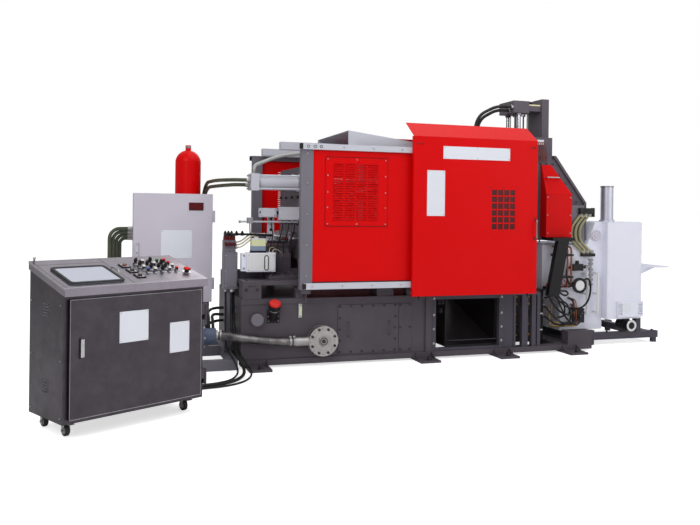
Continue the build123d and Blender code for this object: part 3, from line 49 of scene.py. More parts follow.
# Camera, as the photograph was taken
camera_place = (-3.518, -6.98, 1.35)
camera_turn = radians(-17.8)
camera_roll = radians(0.67)
camera_lens = 38.78
camera_shift = -0.0751

# Lamps: place, target, size and power
lamps = {
    "key": ((-6.0, -6.5, 5.0), (-1.0, -0.5, 0.9), 4.0, 215),
    "top": ((-0.5, -1.5, 6.0), (-0.8, 0.0, 1.0), 5.0, 120),
    "fill": ((4.5, -6.0, 3.0), (0.0, 0.0, 1.0), 4.0, 60),
    "back": ((1.0, 6.5, 4.5), (-0.5, 0.0, 1.0), 5.0, 110),
}


def put_in_scene(name, data):
    """A new object in the scene."""
    made = bpy.data.objects.new(name, data)
    bpy.context.scene.collection.objects.link(made)
    return made


def make_camera():
    """A level camera in front of the console, turned a little towards the furnace."""
    lens = bpy.data.cameras.new("camera")
    lens.lens = camera_lens
    lens.sensor_width = 36
    lens.shift_y = camera_shift
    lens.clip_end = 200
    camera = put_in_scene("camera", lens)
    level = Matrix.Rotation(camera_turn, 4, "Z") @ Matrix.Rotation(pi / 2, 4, "X")
    camera.matrix_world = Matrix.Translation(camera_place) @ level @ Matrix.Rotation(camera_roll, 4, "Z")
    bpy.context.scene.camera = camera


def add_lamp(name, place, target, size, power):
    """A soft square lamp that faces its target."""
    lamp = bpy.data.lights.new(name, "AREA")
    lamp.shape = "SQUARE"
    lamp.size = size
    lamp.energy = power
    holder = put_in_scene(name, lamp)
    holder.location = place
    holder.rotation_euler = (Vector(target) - Vector(place)).to_track_quat("-Z", "Y").to_euler()


# Node trees, and the colours that their effects mix in

grime = (0.012, 0.010, 0.010, 1)
mark_shade = (0.02, 0.02, 0.02, 1)
dust_colour = (0.30, 0.28, 0.26, 1)


def add_node(tree, kind, sockets=None, **options):
    """A shader node with its options and what its sockets take: a value, or another socket."""
    made = tree.nodes.new("ShaderNode" + kind)
    for name, value in options.items():
        setattr(made, name, value)
    for name, value in (sockets or {}).items():
        if isinstance(value, bpy.types.NodeSocket):
            tree.links.new(value, made.inputs[name])
        else:
            made.inputs[name].default_value = value
    return made


def effect_group(name, inputs):
    """An effect that several finishes share. It puts out a colour, a roughness and a normal."""
    group = bpy.data.node_groups.new(name, "ShaderNodeTree")
    for label, value in inputs.items():
        kind = "Float" if isinstance(value, float) else ("Vector" if len(value) == 3 else "Color")
        socket = group.interface.new_socket(label, in_out="INPUT", socket_type="NodeSocket" + kind)
        socket.default_value = value
    for label, kind in (("Colour", "Color"), ("Roughness", "Float"), ("Normal", "Vector")):
        group.interface.new_socket(label, in_out="OUTPUT", socket_type="NodeSocket" + kind)
    return group, group.nodes.new("NodeGroupInput").outputs, group.nodes.new("NodeGroupOutput").inputs


def put_out(tree, result, colour, roughness, normal):
    for name, value in (("Colour", colour), ("Roughness", roughness), ("Normal", normal)):
        tree.links.new(value, result[name])


def noise(tree, place, scale, detail=2.0, roughness=0.5):
    """Noise over the given coordinates."""
    return add_node(tree, "TexNoise", {"Vector": place, "Scale": scale, "Detail": detail,
                                       "Roughness": roughness}).outputs["Fac"]


def span(tree, value, low, high, out_low=0.0, out_high=1.0):
    """The value's range from low to high, spread over a new range."""
    return add_node(tree, "MapRange", {"Value": value, "From Min": low, "From Max": high, "To Min": out_low,
                                       "To Max": out_high}).outputs["Result"]


def arithmetic(tree, operation, first, second):
    return add_node(tree, "Math", {0: first, 1: second}, operation=operation).outputs["Value"]


def times(tree, first, second):
    return arithmetic(tree, "MULTIPLY", first, second)


def plus(tree, first, second):
    return arithmetic(tree, "ADD", first, second)


def mixed(tree, mask, first, second):
    """The first colour where the mask is 0 and the second where it is 1."""
    return add_node(tree, "Mix", {"Factor": mask, 6: first, 7: second}, data_type="RGBA").outputs[2]


def alignment(tree, first, second):
    """How far two directions agree, from -1 to 1."""
    return add_node(tree, "VectorMath", {0: first, 1: second}, operation="DOT_PRODUCT").outputs["Value"]


def object_place(tree):
    return add_node(tree, "TexCoord").outputs["Object"]


def rounded_normal(tree, radius):
    """The surface normal with its edges rounded."""
    return add_node(tree, "Bevel", {"Radius": radius}, samples=4).outputs["Normal"]


def on_edge(tree, rounded):
    """How far each point is on an edge, from how far its rounded normal leans."""
    true = add_node(tree, "NewGeometry").outputs["Normal"]
    return span(tree, alignment(tree, rounded, true), 0.995, 0.80)


def bumped(tree, normal, height, strength, distance):
    """The normal with fine relief on it."""
    return add_node(tree, "Bump", {"Normal": normal, "Height": height, "Strength": strength,
                                   "Distance": distance}).outputs["Normal"]


def make_enamel_effect():
    """Machine paint: slow changes of tone, rubbed edges and a faint orange peel."""
    group, given, result = effect_group("enamel", {
        "Colour": (0.5, 0.5, 0.5, 1), "Rubbed Colour": (0.6, 0.6, 0.6, 1), "Tone": 0.12, "Rubbed": 0.4,
        "Roughness": 0.35, "Peel Scale": 260.0, "Peel": 0.08})
    place = object_place(group)
    slow = span(group, noise(group, place, 1.7, 4.0, 0.6), 0.3, 0.7)
    specks = span(group, noise(group, place, 38.0, 5.0, 0.7), 0.42, 0.66)
    normal = rounded_normal(group, 0.0035)
    toned = mixed(group, times(group, slow, given["Tone"]), given["Colour"], grime)
    rubbed = times(group, times(group, on_edge(group, normal), specks), given["Rubbed"])
    peel = noise(group, place, given["Peel Scale"], 1.0)
    put_out(group, result, mixed(group, rubbed, toned, given["Rubbed Colour"]),
            plus(group, given["Roughness"], times(group, specks, 0.10)),
            bumped(group, normal, peel, given["Peel"], 0.0012))
    return group


def make_machined_effect():
    """Bare metal: fine marks drawn out one way, with cloudy changes of polish."""
    group, given, result = effect_group("machined", {
        "Colour": (0.6, 0.6, 0.6, 1), "Stained Colour": (0.3, 0.28, 0.26, 1), "Stain": 0.3,
        "Roughness": 0.3, "Marks": (40.0, 40.0, 900.0), "Mark Depth": 0.15})
    place = object_place(group)
    stretched = add_node(group, "VectorMath", {0: place, 1: given["Marks"]}, operation="MULTIPLY")
    marks = noise(group, stretched.outputs["Vector"], 1.0, 3.0, 0.6)
    clouds = span(group, noise(group, place, 9.0, 5.0, 0.65), 0.35, 0.7)
    stained = mixed(group, times(group, clouds, given["Stain"]), given["Colour"], given["Stained Colour"])
    put_out(group, result, mixed(group, times(group, marks, 0.22), stained, mark_shade),
            plus(group, given["Roughness"], times(group, plus(group, clouds, marks), 0.09)),
            bumped(group, rounded_normal(group, 0.002), marks, given["Mark Depth"], 0.0006))
    return group


def make_moulded_effect():
    """Rubber and moulded plastic: a fine grain with dust in it."""
    group, given, result = effect_group("moulded", {
        "Colour": (0.02, 0.02, 0.02, 1), "Dust": 0.1, "Roughness": 0.5, "Grain Scale": 500.0, "Grain": 0.2})
    place = object_place(group)
    cloud = span(group, noise(group, place, 14.0, 5.0, 0.6), 0.35, 0.75)
    grain = noise(group, place, given["Grain Scale"], 2.0)
    put_out(group, result,
            mixed(group, times(group, cloud, given["Dust"]), given["Colour"], dust_colour),
            plus(group, given["Roughness"], times(group, cloud, 0.12)),
            bumped(group, rounded_normal(group, 0.0015), grain, given["Grain"], 0.0008))
    return group


def shown(red, green, blue):
    """A colour as it looks on screen, from 0 to 255, as the shader's own values."""
    def value(level):
        level /= 255
        return level / 12.92 if level <= 0.04045 else ((level + 0.055) / 1.055) ** 2.4
    return (value(red), value(green), value(blue), 1.0)


def finish_with(name, effect, settings, **sockets):
    """A material with one Principled shader, fed by an effect."""
    material = bpy.data.materials.new(name)
    material.use_nodes = True
    tree = material.node_tree
    tree.nodes.clear()
    made = tree.nodes.new("ShaderNodeGroup")
    made.node_tree = effect
    for label, value in settings.items():
        made.inputs[label].default_value = value
    sockets = {label.replace("_", " "): value for label, value in sockets.items()}
    shader = add_node(tree, "BsdfPrincipled", {
        "Base Color": made.outputs["Colour"], "Roughness": made.outputs["Roughness"],
        "Normal": made.outputs["Normal"], **sockets})
    add_node(tree, "OutputMaterial", {"Surface": shader.outputs["BSDF"]})
    return material


enamel_effect = make_enamel_effect()
machined_effect = make_machined_effect()
moulded_effect = make_moulded_effect()


def enamel(name, colour, tone=0.12, rubbed=0.35, roughness=0.36, peel=0.10, shine=0.22):
    """Paint on steel, a little lighter where its edges are rubbed."""
    colour = shown(*colour)
    lighter = tuple(min(1.0, level * 1.5 + 0.04) for level in colour[:3]) + (1.0,)
    settings = {"Colour": colour, "Rubbed Colour": lighter, "Tone": tone, "Rubbed": rubbed,
                "Roughness": roughness, "Peel": peel}
    return finish_with(name, enamel_effect, settings, Specular_IOR_Level=shine)


def bare_metal(name, colour, stained, stain=0.3, roughness=0.25, marks=(40.0, 40.0, 900.0), depth=0.15):
    settings = {"Colour": shown(*colour), "Stained Colour": shown(*stained), "Stain": stain,
                "Roughness": roughness, "Marks": marks, "Mark Depth": depth}
    return finish_with(name, machined_effect, settings, Metallic=1.0)


def moulded(name, colour, dust=0.06, roughness=0.45, grain_scale=500.0, grain=0.2, shine=0.2):
    settings = {"Colour": shown(*colour), "Dust": dust, "Roughness": roughness,
                "Grain Scale": grain_scale, "Grain": grain}
    return finish_with(name, moulded_effect, settings, Specular_IOR_Level=shine)


smooth = dict(dust=0.02, roughness=0.12, grain=0.01)
cap = dict(dust=0.02, roughness=0.25, grain=0.03)
braid = dict(dust=0.12, roughness=0.40, grain_scale=900.0, grain=0.5)
enamels = {
    "guard_red": ((214, 4, 8), dict(tone=0.05, rubbed=0.15, roughness=0.30, peel=0.04, shine=0.10)),
    "base_paint": ((85, 79, 87), dict(tone=0.32, roughness=0.42)),
    "casting_paint": ((98, 91, 101), dict(tone=0.32, roughness=0.48, peel=0.3)),
    "frame_grey": ((118, 115, 125), dict(tone=0.15)),
    "light_grey": ((196, 198, 208), dict(tone=0.06)),
    "black_finish": ((26, 25, 28), dict(tone=0.2, roughness=0.38)),
    "bay_grey": ((80, 76, 88), dict(tone=0.3, roughness=0.42)),
    "furnace_white": ((229, 231, 244), dict(tone=0.04)),
    "cabinet_grey": ((204, 199, 212), dict(tone=0.08, roughness=0.42, peel=0.25)),
    "pump_blue": ((88, 100, 124), dict(tone=0.2, roughness=0.4)),
    "bare_plate": ((224, 227, 236), dict(tone=0.04, rubbed=0.1, roughness=0.3, peel=0.0)),
    "bare_white": ((220, 220, 222), dict(tone=0.05)),
    "valve_red": ((112, 20, 24), dict(tone=0.15)),
    "cream_cap": ((226, 218, 178), dict(tone=0.08)),
}
bare_metals = {
    "ground_chrome": ((210, 210, 216), (150, 140, 132), dict(stain=0.15, roughness=0.12, depth=0.05,
                                                             marks=(900.0, 30.0, 30.0))),
    "machined_steel": ((172, 170, 175), (112, 106, 104), dict(roughness=0.32)),
    "oiled_steel": ((104, 99, 104), (58, 54, 54), dict(stain=0.5, roughness=0.34)),
    "hose_metal": ((158, 155, 156), (40, 38, 38), dict(stain=0.75, roughness=0.36)),
    "console_steel": ((86, 81, 88), (54, 50, 56), dict(stain=0.4, roughness=0.28, depth=0.10,
                                                       marks=(6.0, 6.0, 1100.0))),
    "lid_steel": ((160, 153, 164), (114, 107, 115), dict(roughness=0.22, marks=(6.0, 900.0, 6.0), depth=0.06)),
    "caster_zinc": ((176, 176, 180), (120, 116, 110), dict(roughness=0.28)),
    "zinc": ((186, 184, 184), (124, 120, 114), dict(roughness=0.30)),
    "polished_steel": ((200, 198, 202), (146, 142, 142), dict(stain=0.15, roughness=0.16, depth=0.05,
                                                              marks=(20.0, 700.0, 700.0))),
    "flue_steel": ((216, 217, 230), (172, 170, 178), dict(stain=0.2, roughness=0.40)),
    "dark_bolt": ((78, 74, 78), (38, 36, 38), dict(roughness=0.38)),
    "brass": ((180, 146, 88), (106, 80, 46), dict(roughness=0.3)),
    "copper": ((176, 108, 80), (94, 58, 42), dict(roughness=0.3)),
}
mouldings = {
    "screen_glass": ((150, 158, 168), dict(dust=0.02, roughness=0.12, grain=0.02)),
    "cable_black": ((22, 22, 24), {}),
    "wheel_rubber": ((28, 27, 28), dict(dust=0.15, roughness=0.6)),
    "hose_rubber": ((66, 74, 60), dict(dust=0.10, roughness=0.42, grain_scale=700.0)),
    "braided_hose": ((84, 84, 68), braid),
    "arc_hose": ((146, 142, 108), braid),
    "cap_red": ((206, 26, 14), dict(dust=0.04, roughness=0.3)),
    "cream_hose": ((202, 194, 164), dict(roughness=0.4)),
    "black_plastic": ((24, 24, 27), dict(roughness=0.40)),
    "smoked_glass": ((66, 14, 20), dict(dust=0.02, roughness=0.14, grain=0.01)),
    "window_red": ((88, 14, 22), dict(dust=0.02, roughness=0.14, grain=0.01)),
    "display": ((186, 190, 204), smooth),
    "wire_brown": ((120, 50, 38), dict(roughness=0.4)),
    "wire_red": ((168, 52, 40), dict(roughness=0.4)),
    "button_white": ((230, 228, 226), cap),
    "button_red": ((206, 16, 20), cap),
    "button_green": ((34, 118, 70), cap),
    "button_blue": ((38, 60, 144), cap),
    "hub_grey": ((146, 146, 150), dict(dust=0.1, roughness=0.4)),
    "tank_oil": ((214, 220, 176), dict(dust=0.02, roughness=0.25, grain=0.02)),
    "tank_blue": ((132, 146, 168), dict(dust=0.02, roughness=0.25, grain=0.02)),
}
finishes = {}
for kind, table in ((enamel, enamels), (bare_metal, bare_metals), (moulded, mouldings)):
    for name, (*colours, options) in table.items():
        finishes[name] = kind(name, *colours, **options)

# Nodes whose own finish differs a little from that of their slot
node_finishes = {"console_lid": "lid_steel", "furnace_brace": "black_finish", "hydraulic_hoses": "braided_hose",
                 "injection_hoses": "arc_hose", "strainer": "zinc", "chimney": "flue_steel"}


def band_of_colour(finish, low, high, inside, outside):
    """Hoses of one node that have another colour between two heights."""
    tree = finishes[finish].node_tree
    effect = next(made for made in tree.nodes if made.type == "GROUP")
    height = add_node(tree, "SeparateXYZ", {"Vector": object_place(tree)}).outputs["Z"]
    over = span(tree, height, low - millimetre, low + millimetre)
    under = span(tree, height, high - millimetre, high + millimetre, 1.0, 0.0)
    tree.links.new(mixed(tree, times(tree, over, under), shown(*outside), shown(*inside)), effect.inputs["Colour"])


def dress_frame():
    """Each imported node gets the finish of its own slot, or its own."""
    band_of_colour("braided_hose", 1.640, 1.930, (170, 174, 172), (72, 78, 62))
    band_of_colour("arc_hose", 0.933, 1.336, (150, 146, 112), (22, 22, 25))
    for entry in frame["record"]["subparts"]:
        target = nodes[entry["node"]]
        target.data.materials.clear()
        slot = node_finishes.get(entry["node"], entry["material_slot"])
        target.data.materials.append(finishes[slot])


# Closed forms that the pieces are made of, in millimetres

right, away, up = (1, 0, 0), (0, 1, 0), (0, 0, 1)
left, front, down = (-1, 0, 0), (0, -1, 0), (0, 0, -1)


def skin(form, loops, around=False):
    """Faces between loops of points. The ends are capped, or else the loops close round on themselves."""
    loops = [[form.verts.new(point) for point in loop] for loop in loops]
    for near, far in zip(loops, loops[1:] + loops[:1] if around else loops[1:]):
        for k in range(len(near)):
            after = (k + 1) % len(near)
            form.faces.new((near[k], near[after], far[after], far[k]))
    if not around:
        form.faces.new(loops[0][::-1])
        form.faces.new(loops[-1])


def circle(centre, across, other, radius, sides):
    return [centre + (across * cos(tau * k / sides) + other * sin(tau * k / sides)) * radius
            for k in range(sides)]


def block(form, low, high):
    """An upright block between two opposite corners."""
    low, high = Vector(low), Vector(high)
    matrix = Matrix.Translation((low + high) / 2) @ Matrix.Diagonal((*(high - low), 1))
    bmesh.ops.create_cube(form, size=1, matrix=matrix)


def rod(form, foot, reach, radius, far_radius=None, sides=32):
    """A round bar or a cone that reaches out from its foot."""
    foot, reach = Vector(foot), Vector(reach)
    matrix = Matrix.Translation(foot + reach / 2) @ reach.to_track_quat("Z", "Y").to_matrix().to_4x4()
    bmesh.ops.create_cone(form, cap_ends=True, segments=sides, radius1=radius,
                          radius2=radius if far_radius is None else far_radius,
                          depth=reach.length, matrix=matrix)


def hexagon(form, foot, reach, radius):
    rod(form, foot, reach, radius, sides=6)


def turned(form, foot, along, outline, sides=32):
    """A turned form: pairs of distance along the axis and radius."""
    foot, along = Vector(foot), Vector(along).normalized()
    across = along.orthogonal().normalized()
    other = along.cross(across)
    skin(form, [circle(foot + along * reach, across, other, radius, sides) for reach, radius in outline])


def ring(form, foot, reach, outer, inner, sides=32):
    """A flat ring with a true hole."""
    foot, reach = Vector(foot), Vector(reach)
    along = reach.normalized()
    across = along.orthogonal().normalized()
    other = along.cross(across)
    end = foot + reach
    skin(form, [circle(centre, across, other, radius, sides)
                for centre, radius in ((foot, outer), (end, outer), (end, inner), (foot, inner))], True)


def prism(form, outline, push):
    """A flat outline of points, pushed out by a vector."""
    skin(form, [outline, [Vector(point) + Vector(push) for point in outline]])


def bolt(form, foot, out, width, height=None):
    """A hexagon head on its washer."""
    foot, out = Vector(foot), Vector(out)
    washer = width * 0.12
    rod(form, foot - out, out * (1 + washer), width * 0.72, sides=24)
    hexagon(form, foot + out * washer, out * (height or width * 0.6), width / 2)


def cap_screw(form, foot, out, width):
    """A round head with its socket."""
    foot, out = Vector(foot), Vector(out)
    turned(form, foot - out * 0.5, out, (
        (0, width / 2), (width * 0.45, width / 2), (width * 0.5, width * 0.42), (width * 0.5, width * 0.24),
        (width * 0.25, width * 0.22)), 16)


def smooth_line(name, route, radius, bevel, steps):
    """A curve along a smooth line that starts and ends on the route's first and last points."""
    line = bpy.data.curves.new(name, "CURVE")
    line.dimensions = "3D"
    line.bevel_depth = radius
    line.bevel_resolution = bevel
    line.resolution_u = steps
    line.use_fill_caps = True
    spline = line.splines.new("NURBS")
    spline.points.add(len(route) - 1)
    for point, place in zip(spline.points, route):
        point.co = (*place, 1)
    spline.order_u = 3
    spline.use_endpoint_u = True
    return line


def line_mesh(route, radius, bevel, steps):
    """The mesh of a smooth line."""
    line = smooth_line("line", route, radius, bevel, steps)
    holder = bpy.data.objects.new("line", line)
    mesh = bpy.data.meshes.new_from_object(holder)
    bpy.data.objects.remove(holder)
    bpy.data.curves.remove(line)
    return mesh


def tube(form, route, radius):
    """A round hose, pipe or wire along a smooth line."""
    mesh = line_mesh(route, radius, 2, 6)
    form.from_mesh(mesh)
    bpy.data.meshes.remove(mesh)


def ribbed_tube(form, route, radius, pitch, rib, sides=24):
    """A hose with rings along its whole line."""
    mesh = line_mesh(route, 0, 0, 24)
    points = [vertex.co.copy() for vertex in mesh.vertices]
    bpy.data.meshes.remove(mesh)
    reach = [0.0]
    for first, second in zip(points, points[1:]):
        reach.append(reach[-1] + (second - first).length)
    steps = int(reach[-1] / (pitch / 4))
    across = (points[1] - points[0]).orthogonal().normalized()
    rings = []
    k = 0
    for step in range(steps + 1):
        goal = reach[-1] * step / steps
        while k < len(points) - 2 and reach[k + 1] < goal:
            k += 1
        centre = points[k].lerp(points[k + 1], (goal - reach[k]) / (reach[k + 1] - reach[k]))
        along = (points[k + 1] - points[k]).normalized()
        across = (across - along * across.dot(along)).normalized()
        wide = radius - rib * (0.5 - 0.5 * cos(tau * goal / pitch))
        rings.append(circle(centre, across, along.cross(across), wide, sides))
    skin(form, rings)


def grid(shape, xs, ys, zs, *values):
    """The same form at every place of a grid: a row of values or one value along each axis."""
    xs, ys, zs = (row if isinstance(row, (tuple, list)) else (row,) for row in (xs, ys, zs))
    return [(shape, (x, y, z), *values) for x in xs for y in ys for z in zs]


def slabs(near_y, far_y, *faces):
    """Upright slabs of one thickness: the left, bottom, right and top edge of each."""
    return [(block, (x, near_y, z), (far_x, far_y, far_z)) for x, z, far_x, far_z in faces]


def circle_places(count, radius, start=0.0):
    """Pairs of distances from the centre of a circle of bolts."""
    return [(radius * cos(tau * (k + start) / count), radius * sin(tau * (k + start) / count))
            for k in range(count)]


def made_piece(name, finish, shapes, body="machine", soften=1.2, place=None, sharp=True):
    """One piece of joined closed forms, with softened edges, on its body."""
    form = bmesh.new()
    for shape, *values in shapes:
        shape(form, *values)
    bmesh.ops.recalc_face_normals(form, faces=form.faces)
    mesh = bpy.data.meshes.new(name)
    form.to_mesh(mesh)
    form.free()
    mesh.transform(Matrix.Scale(millimetre, 4))
    if place:
        mesh.transform(place)
    mesh.shade_smooth()
    if sharp:
        mesh.set_sharp_from_angle(angle=radians(32))
    piece = put_in_scene(name, mesh)
    mesh.materials.append(finishes[finish])
    if soften:
        edge = piece.modifiers.new("soften", "BEVEL")
        edge.width = soften * millimetre
        edge.segments = 2
        edge.limit_method = "ANGLE"
        edge.angle_limit = radians(40)
        edge.harden_normals = True
    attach(piece, body)
    return piece


# Doors and guards: the left edge of each guard by its side, and the faces that pieces lie on

guard_left = {-1: -1984, 1: -2090}
panel_face = 859
rail_face = 885
door_face = 930
rail_heights = (1878, 706)
plate_edges = (213, 769)
plate_heights = (1212, 1796)
louvre_pitch = 103.75
slot_pitch = 20.5


def louvre_hoods(side):
    """Small bent hoods over the rows of slots in a guard panel."""
    shapes = []
    for column in range(4):
        x = guard_left[side] + 275 + (column + 0.5) * louvre_pitch - 46
        for row in range(24):
            z = 1261.5 + (row + 0.5) * slot_pitch
            outline = [(x, side * y, z + dz) for y, dz in (
                (panel_face, 4.5), (866.5, -4.5), (865, -5.8), (panel_face, 0.5))]
            shapes.append((prism, outline, (92, 0, 0)))
    return shapes


def guard_screws(side):
    """Screws round the louvred plate, down the posts and along the rails."""
    edge = guard_left[side]
    near, far = edge + plate_edges[0] + 18, edge + plate_edges[1] - 18
    along_rail = [edge + 100 + k * (130 - edge) / 8 for k in range(9)]
    out = (0, side, 0)
    return (grid(cap_screw, (near, (near + far) / 2, far), side * panel_face, (1230, 1778), out, 11)
            + grid(cap_screw, (near, far), side * panel_face, (1370, 1500, 1640), out, 11)
            + grid(cap_screw, edge + 52, side * 860, (790, 1050, 1310, 1570, 1820), out, 14)
            + grid(cap_screw, along_rail, side * rail_face, rail_heights, out, 13))


def plate_gap_shade(side):
    """Dark red strips round the louvred service plate of a guard panel, painted shade for the gap between plate and
    panel.
    """
    near, far = (guard_left[side] + edge for edge in plate_edges)
    low, high = plate_heights
    gap = 3.5
    return slabs(side * 856, side * 859.7, (near - gap, low - gap, near, high + gap),
                 (far, low - gap, far + gap, high + gap), (near, low - gap, far, low), (near, high, far, high + gap))


def rail_ends(side):
    """Black end caps of the door rails and the pads that stop the rollers."""
    edge = guard_left[side]
    shapes = [(block, (x - 6, side * 860, z - 24), (x + 20, side * 887.5, z + 24))
              for x, z in zip((edge - 12, edge + 26), rail_heights)]
    shapes += grid(ring, (edge + 55, edge + 115, edge + 165), side * 884.5, 1878, (0, side * 2, 0), 13, 8, 20)
    return shapes + [(block, (218, side * 860, z - 20), (229, side * 887, z + 20)) for z in rail_heights]


def make_guards():
    for side, label in ((-1, "front"), (1, "rear")):
        made_piece(label + "_louvre_hoods", "guard_red", louvre_hoods(side), soften=0)
        made_piece(label + "_guard_screws", "zinc", guard_screws(side), soften=0)
        # Dark red strips round each louvred plate: painted shade for the gap between plate and panel
        made_piece(label + "_plate_seams", "valve_red", plate_gap_shade(side), soften=0)
        made_piece(label + "_rail_ends", "black_plastic", rail_ends(side))
    gussets = []
    for side in (-1, 1):
        for x in (-1930, -900, 190):
            outline = [(x - 4, side * 856, 640), (x - 4, side * 856, 560), (x - 4, side * 706, 640)]
            gussets.append((prism, outline, (8, 0, 0)))
            gussets += grid(bolt, (x - 28, x + 28), side * 700, 640, down, 19)
    made_piece("guard_arm_gussets", "base_paint", gussets)


def door_fittings(side, body):
    """Bare plates, smoked pane, screws, roller wheels, grip and edge seals of one sliding door."""
    face = side * door_face
    out = (0, side, 0)
    window_x, window_z = (-262, 17), (1168, 1569)
    made_piece(body + "_pane", "smoked_glass", [
        (block, (window_x[0], face - side * 4.2, window_z[0]), (window_x[1], face - side * 8.2, window_z[1]))], body)
    made_piece(body + "_plate", "bare_plate", [
        (block, (-721, face, 1809), (-62, face + side * 1.8, 1920)),
        (block, (-872, face, 1306), (-702, face + side * 1.2, 1705))], body, 0.6)
    made_piece(body + "_rivets", "zinc", (
        grid(cap_screw, (-709, -390, -74), face + side * 1.6, (1820, 1909), out, 8)
        + grid(cap_screw, (-860, -714), face + side, (1318, 1693), out, 7)), body, 0)
    made_piece(body + "_screws", "dark_bolt", (
        grid(cap_screw, (-955, -915, 165, 195), face, 1935, out, 14)
        + grid(cap_screw, (*window_x, -122.5), face, window_z, out, 10)
        + grid(bolt, 203, face, (1100, 1290), out, 13)), body, 0)
    made_piece(body + "_rollers", "machined_steel", grid(
        rod, (-958, -922, 147, 183), side * 892.5, 1921.5, (0, side * 9, 0), 16.5), body)
    made_piece(body + "_grip", "zinc", [
        *grid(rod, 203, face - side * 0.5, (1120, 1270), (0, side * 33.5, 0), 6.8),
        (rod, (203, face + side * 33, 1112.5), (0, 0, 165), 6.9)], body)
    made_piece(body + "_edge_seal", "black_plastic", [
        (block, (x, side * 892.5, 640), (x + 3.5, side * 925.5, 1980)) for x in (217, -995.5)], body, 0)


# Clamp end

tie_bar_places = [(y, z) for y in (-260, 260) for z in (1080, 1600)]
switch_boxes = ((-2244, -2095, 1277, 1358), (-2073, -1880, 1252, 1370))
box_front = -424.5  # of the switch boxes and of the junction box


def make_clamp_details():
    """Lock rings, bolts, ports, switch boxes with their leads, and feet of the clamp and its tail."""
    lock = []
    for y, z in tie_bar_places:
        for x, side in ((-1935, -1), (295, 1)):
            lock.append((ring, (x, y, z), (side * 16, 0, 0), 60, 38.5, 40))
            lock.append((rod, (x + side * 16.1, y, z), (side * 3.9, 0, 0), 38))
            lock += [(cap_screw, (x + side * 16, y + dy, z + dz), (side, 0, 0), 11)
                     for dy, dz in circle_places(6, 50)]
    made_piece("tie_bar_lock_rings", "machined_steel", lock)
    made_piece("platen_bolts", "dark_bolt", [
        *grid(bolt, -1880, (-340, -120, 120, 340), (1220, 1460), left, 24),
        *grid(bolt, 240, (-340, -120, 120, 340), (1220, 1460), right, 24),
        *grid(cap_screw, -690, (-160, 160), (1275, 1405), right, 20),
        *grid(cap_screw, 40, (-160, 160), (1275, 1405), left, 20)])
    made_piece("nozzle_bore_ring", "machined_steel", [(ring, (30, 0, 1340), (10, 0, 0), 95, 66, 48)])
    made_piece("cylinder_nuts_and_rings", "zinc", [
        *grid(bolt, -2337, (-478, -362), (1527, 1643), left, 17, 14),
        *grid(ring, (-2262, -1912), -420, 1585, (12, 0, 0), 66, 59.5, 40)])
    ports = []
    for y, z in ((-455, 1600), (-400, 1560)):
        ports.append((rod, (-2337, y, z), (-37, 0, 0), 18.5))
        ports.append((hexagon, (-2345, y, z), (-13, 0, 0), 22.5))
    made_piece("cylinder_hose_ends", "zinc", [
        *ports, (hexagon, (-2300, -420, 1659), (0, 0, 17), 24.5), (rod, (-2300, -420, 1676), (0, 0, 22), 20),
        (rod, (-1556, -210, 1874), (26, 0, 0), 20.5), *grid(hexagon, -2650, (310, 355), 500, (0, 0, 20), 24.5),
        *grid(rod, -2650, (310, 355), 520, (0, 0, 40), 20)])
    made_piece("switch_box_lids", "light_grey", slabs(box_front, -420, *[
        (near + 6, low + 6, far - 6, high - 6) for near, far, low, high in switch_boxes]), soften=2.5)
    screws = grid(bolt, (-2200, -1920), -348, 1315, away, 12)
    for near, far, low, high in switch_boxes:
        screws += grid(cap_screw, (near + 16, far - 16), box_front, (low + 16, high - 16), front, 9)
    made_piece("switch_box_screws", "zinc", screws, soften=0)
    connectors = [(rod, (-2094, -390, 1320), (20.5, 0, 0), 15),
                  (block, (-2244, -424.6, 1311), (-2236, -400, 1329))]
    for places, low in (((-2205, -2135), 1277), ((-2030, -1975, -1920), 1252)):
        connectors += grid(hexagon, places, -385, low, (0, 0, -9), 14)
        connectors += grid(rod, places, -385, low - 9, (0, 0, -21), 10, 7)
    made_piece("switch_connectors", "black_plastic", connectors)
    leads = [[(x, -385, 1249), (x, -385, 1200), (end + 20, -370, 1120), (end, -345, 1030), (end, -340, 990),
              (end + 10, -337.5, 955)] for x, end in ((-2205, -2190), (-2135, -2130))]
    leads += [[(x, -385, 1224), (x, -385, 1180), (x - 20, -370, 1100), (x - 40, -345, 1020),
               (x - 40, -337.5, 985), (x - 30, -334.5, 955)] for x in (-2030, -1975, -1920)]
    made_piece("switch_leads", "cable_black", [(tube, lead, 4.5) for lead in leads], soften=0)
    made_piece("sensor_blocks", "machined_steel", [
        (block, (-2352, -412, 1222), (-2302, -368, 1273)), (ring, (-2424, -390, 1237), (14, 0, 0), 12.5, 7.8, 24),
        (ring, (-1896, -390, 1237), (15.5, 0, 0), 16, 7.8, 24)])
    made_piece("sensor_lead", "cable_black", [
        (tube, [(-2327, -390, 1224), (-2327, -390, 1180), (-2320, -370, 1120), (-2270, -350, 1060),
                (-2225, -345, 1000), (-2200, -337.5, 950)], 4.5)], soften=0)
    made_piece("lever_bolts", "black_plastic", (
        grid(rod, -2130, -347.5, (1115, 1165, 1285), (0, -5, 0), 13)
        + grid(hexagon, -2130, -352.5, (1115, 1165, 1285), (0, -7.5, 0), 9)))
    feet_x = (-2160, -2060, -1960)
    feet = grid(bolt, feet_x, (-356, 356), 788, up, 18) + grid(bolt, feet_x, (-520, 520), 767, up, 22)
    feet += [(block, (x - 25, side * 330, 766.5), (x + 25, side * 378, 788)) for x in feet_x for side in (-1, 1)]
    made_piece("tail_clamps", "base_paint", feet)
    made_piece("tail_apron", "base_paint", (
        slabs(-318, -300, (-2420, 690, -1700, 814)) + slabs(-330, -288, (-2420, 737.5, -1700, 750))))


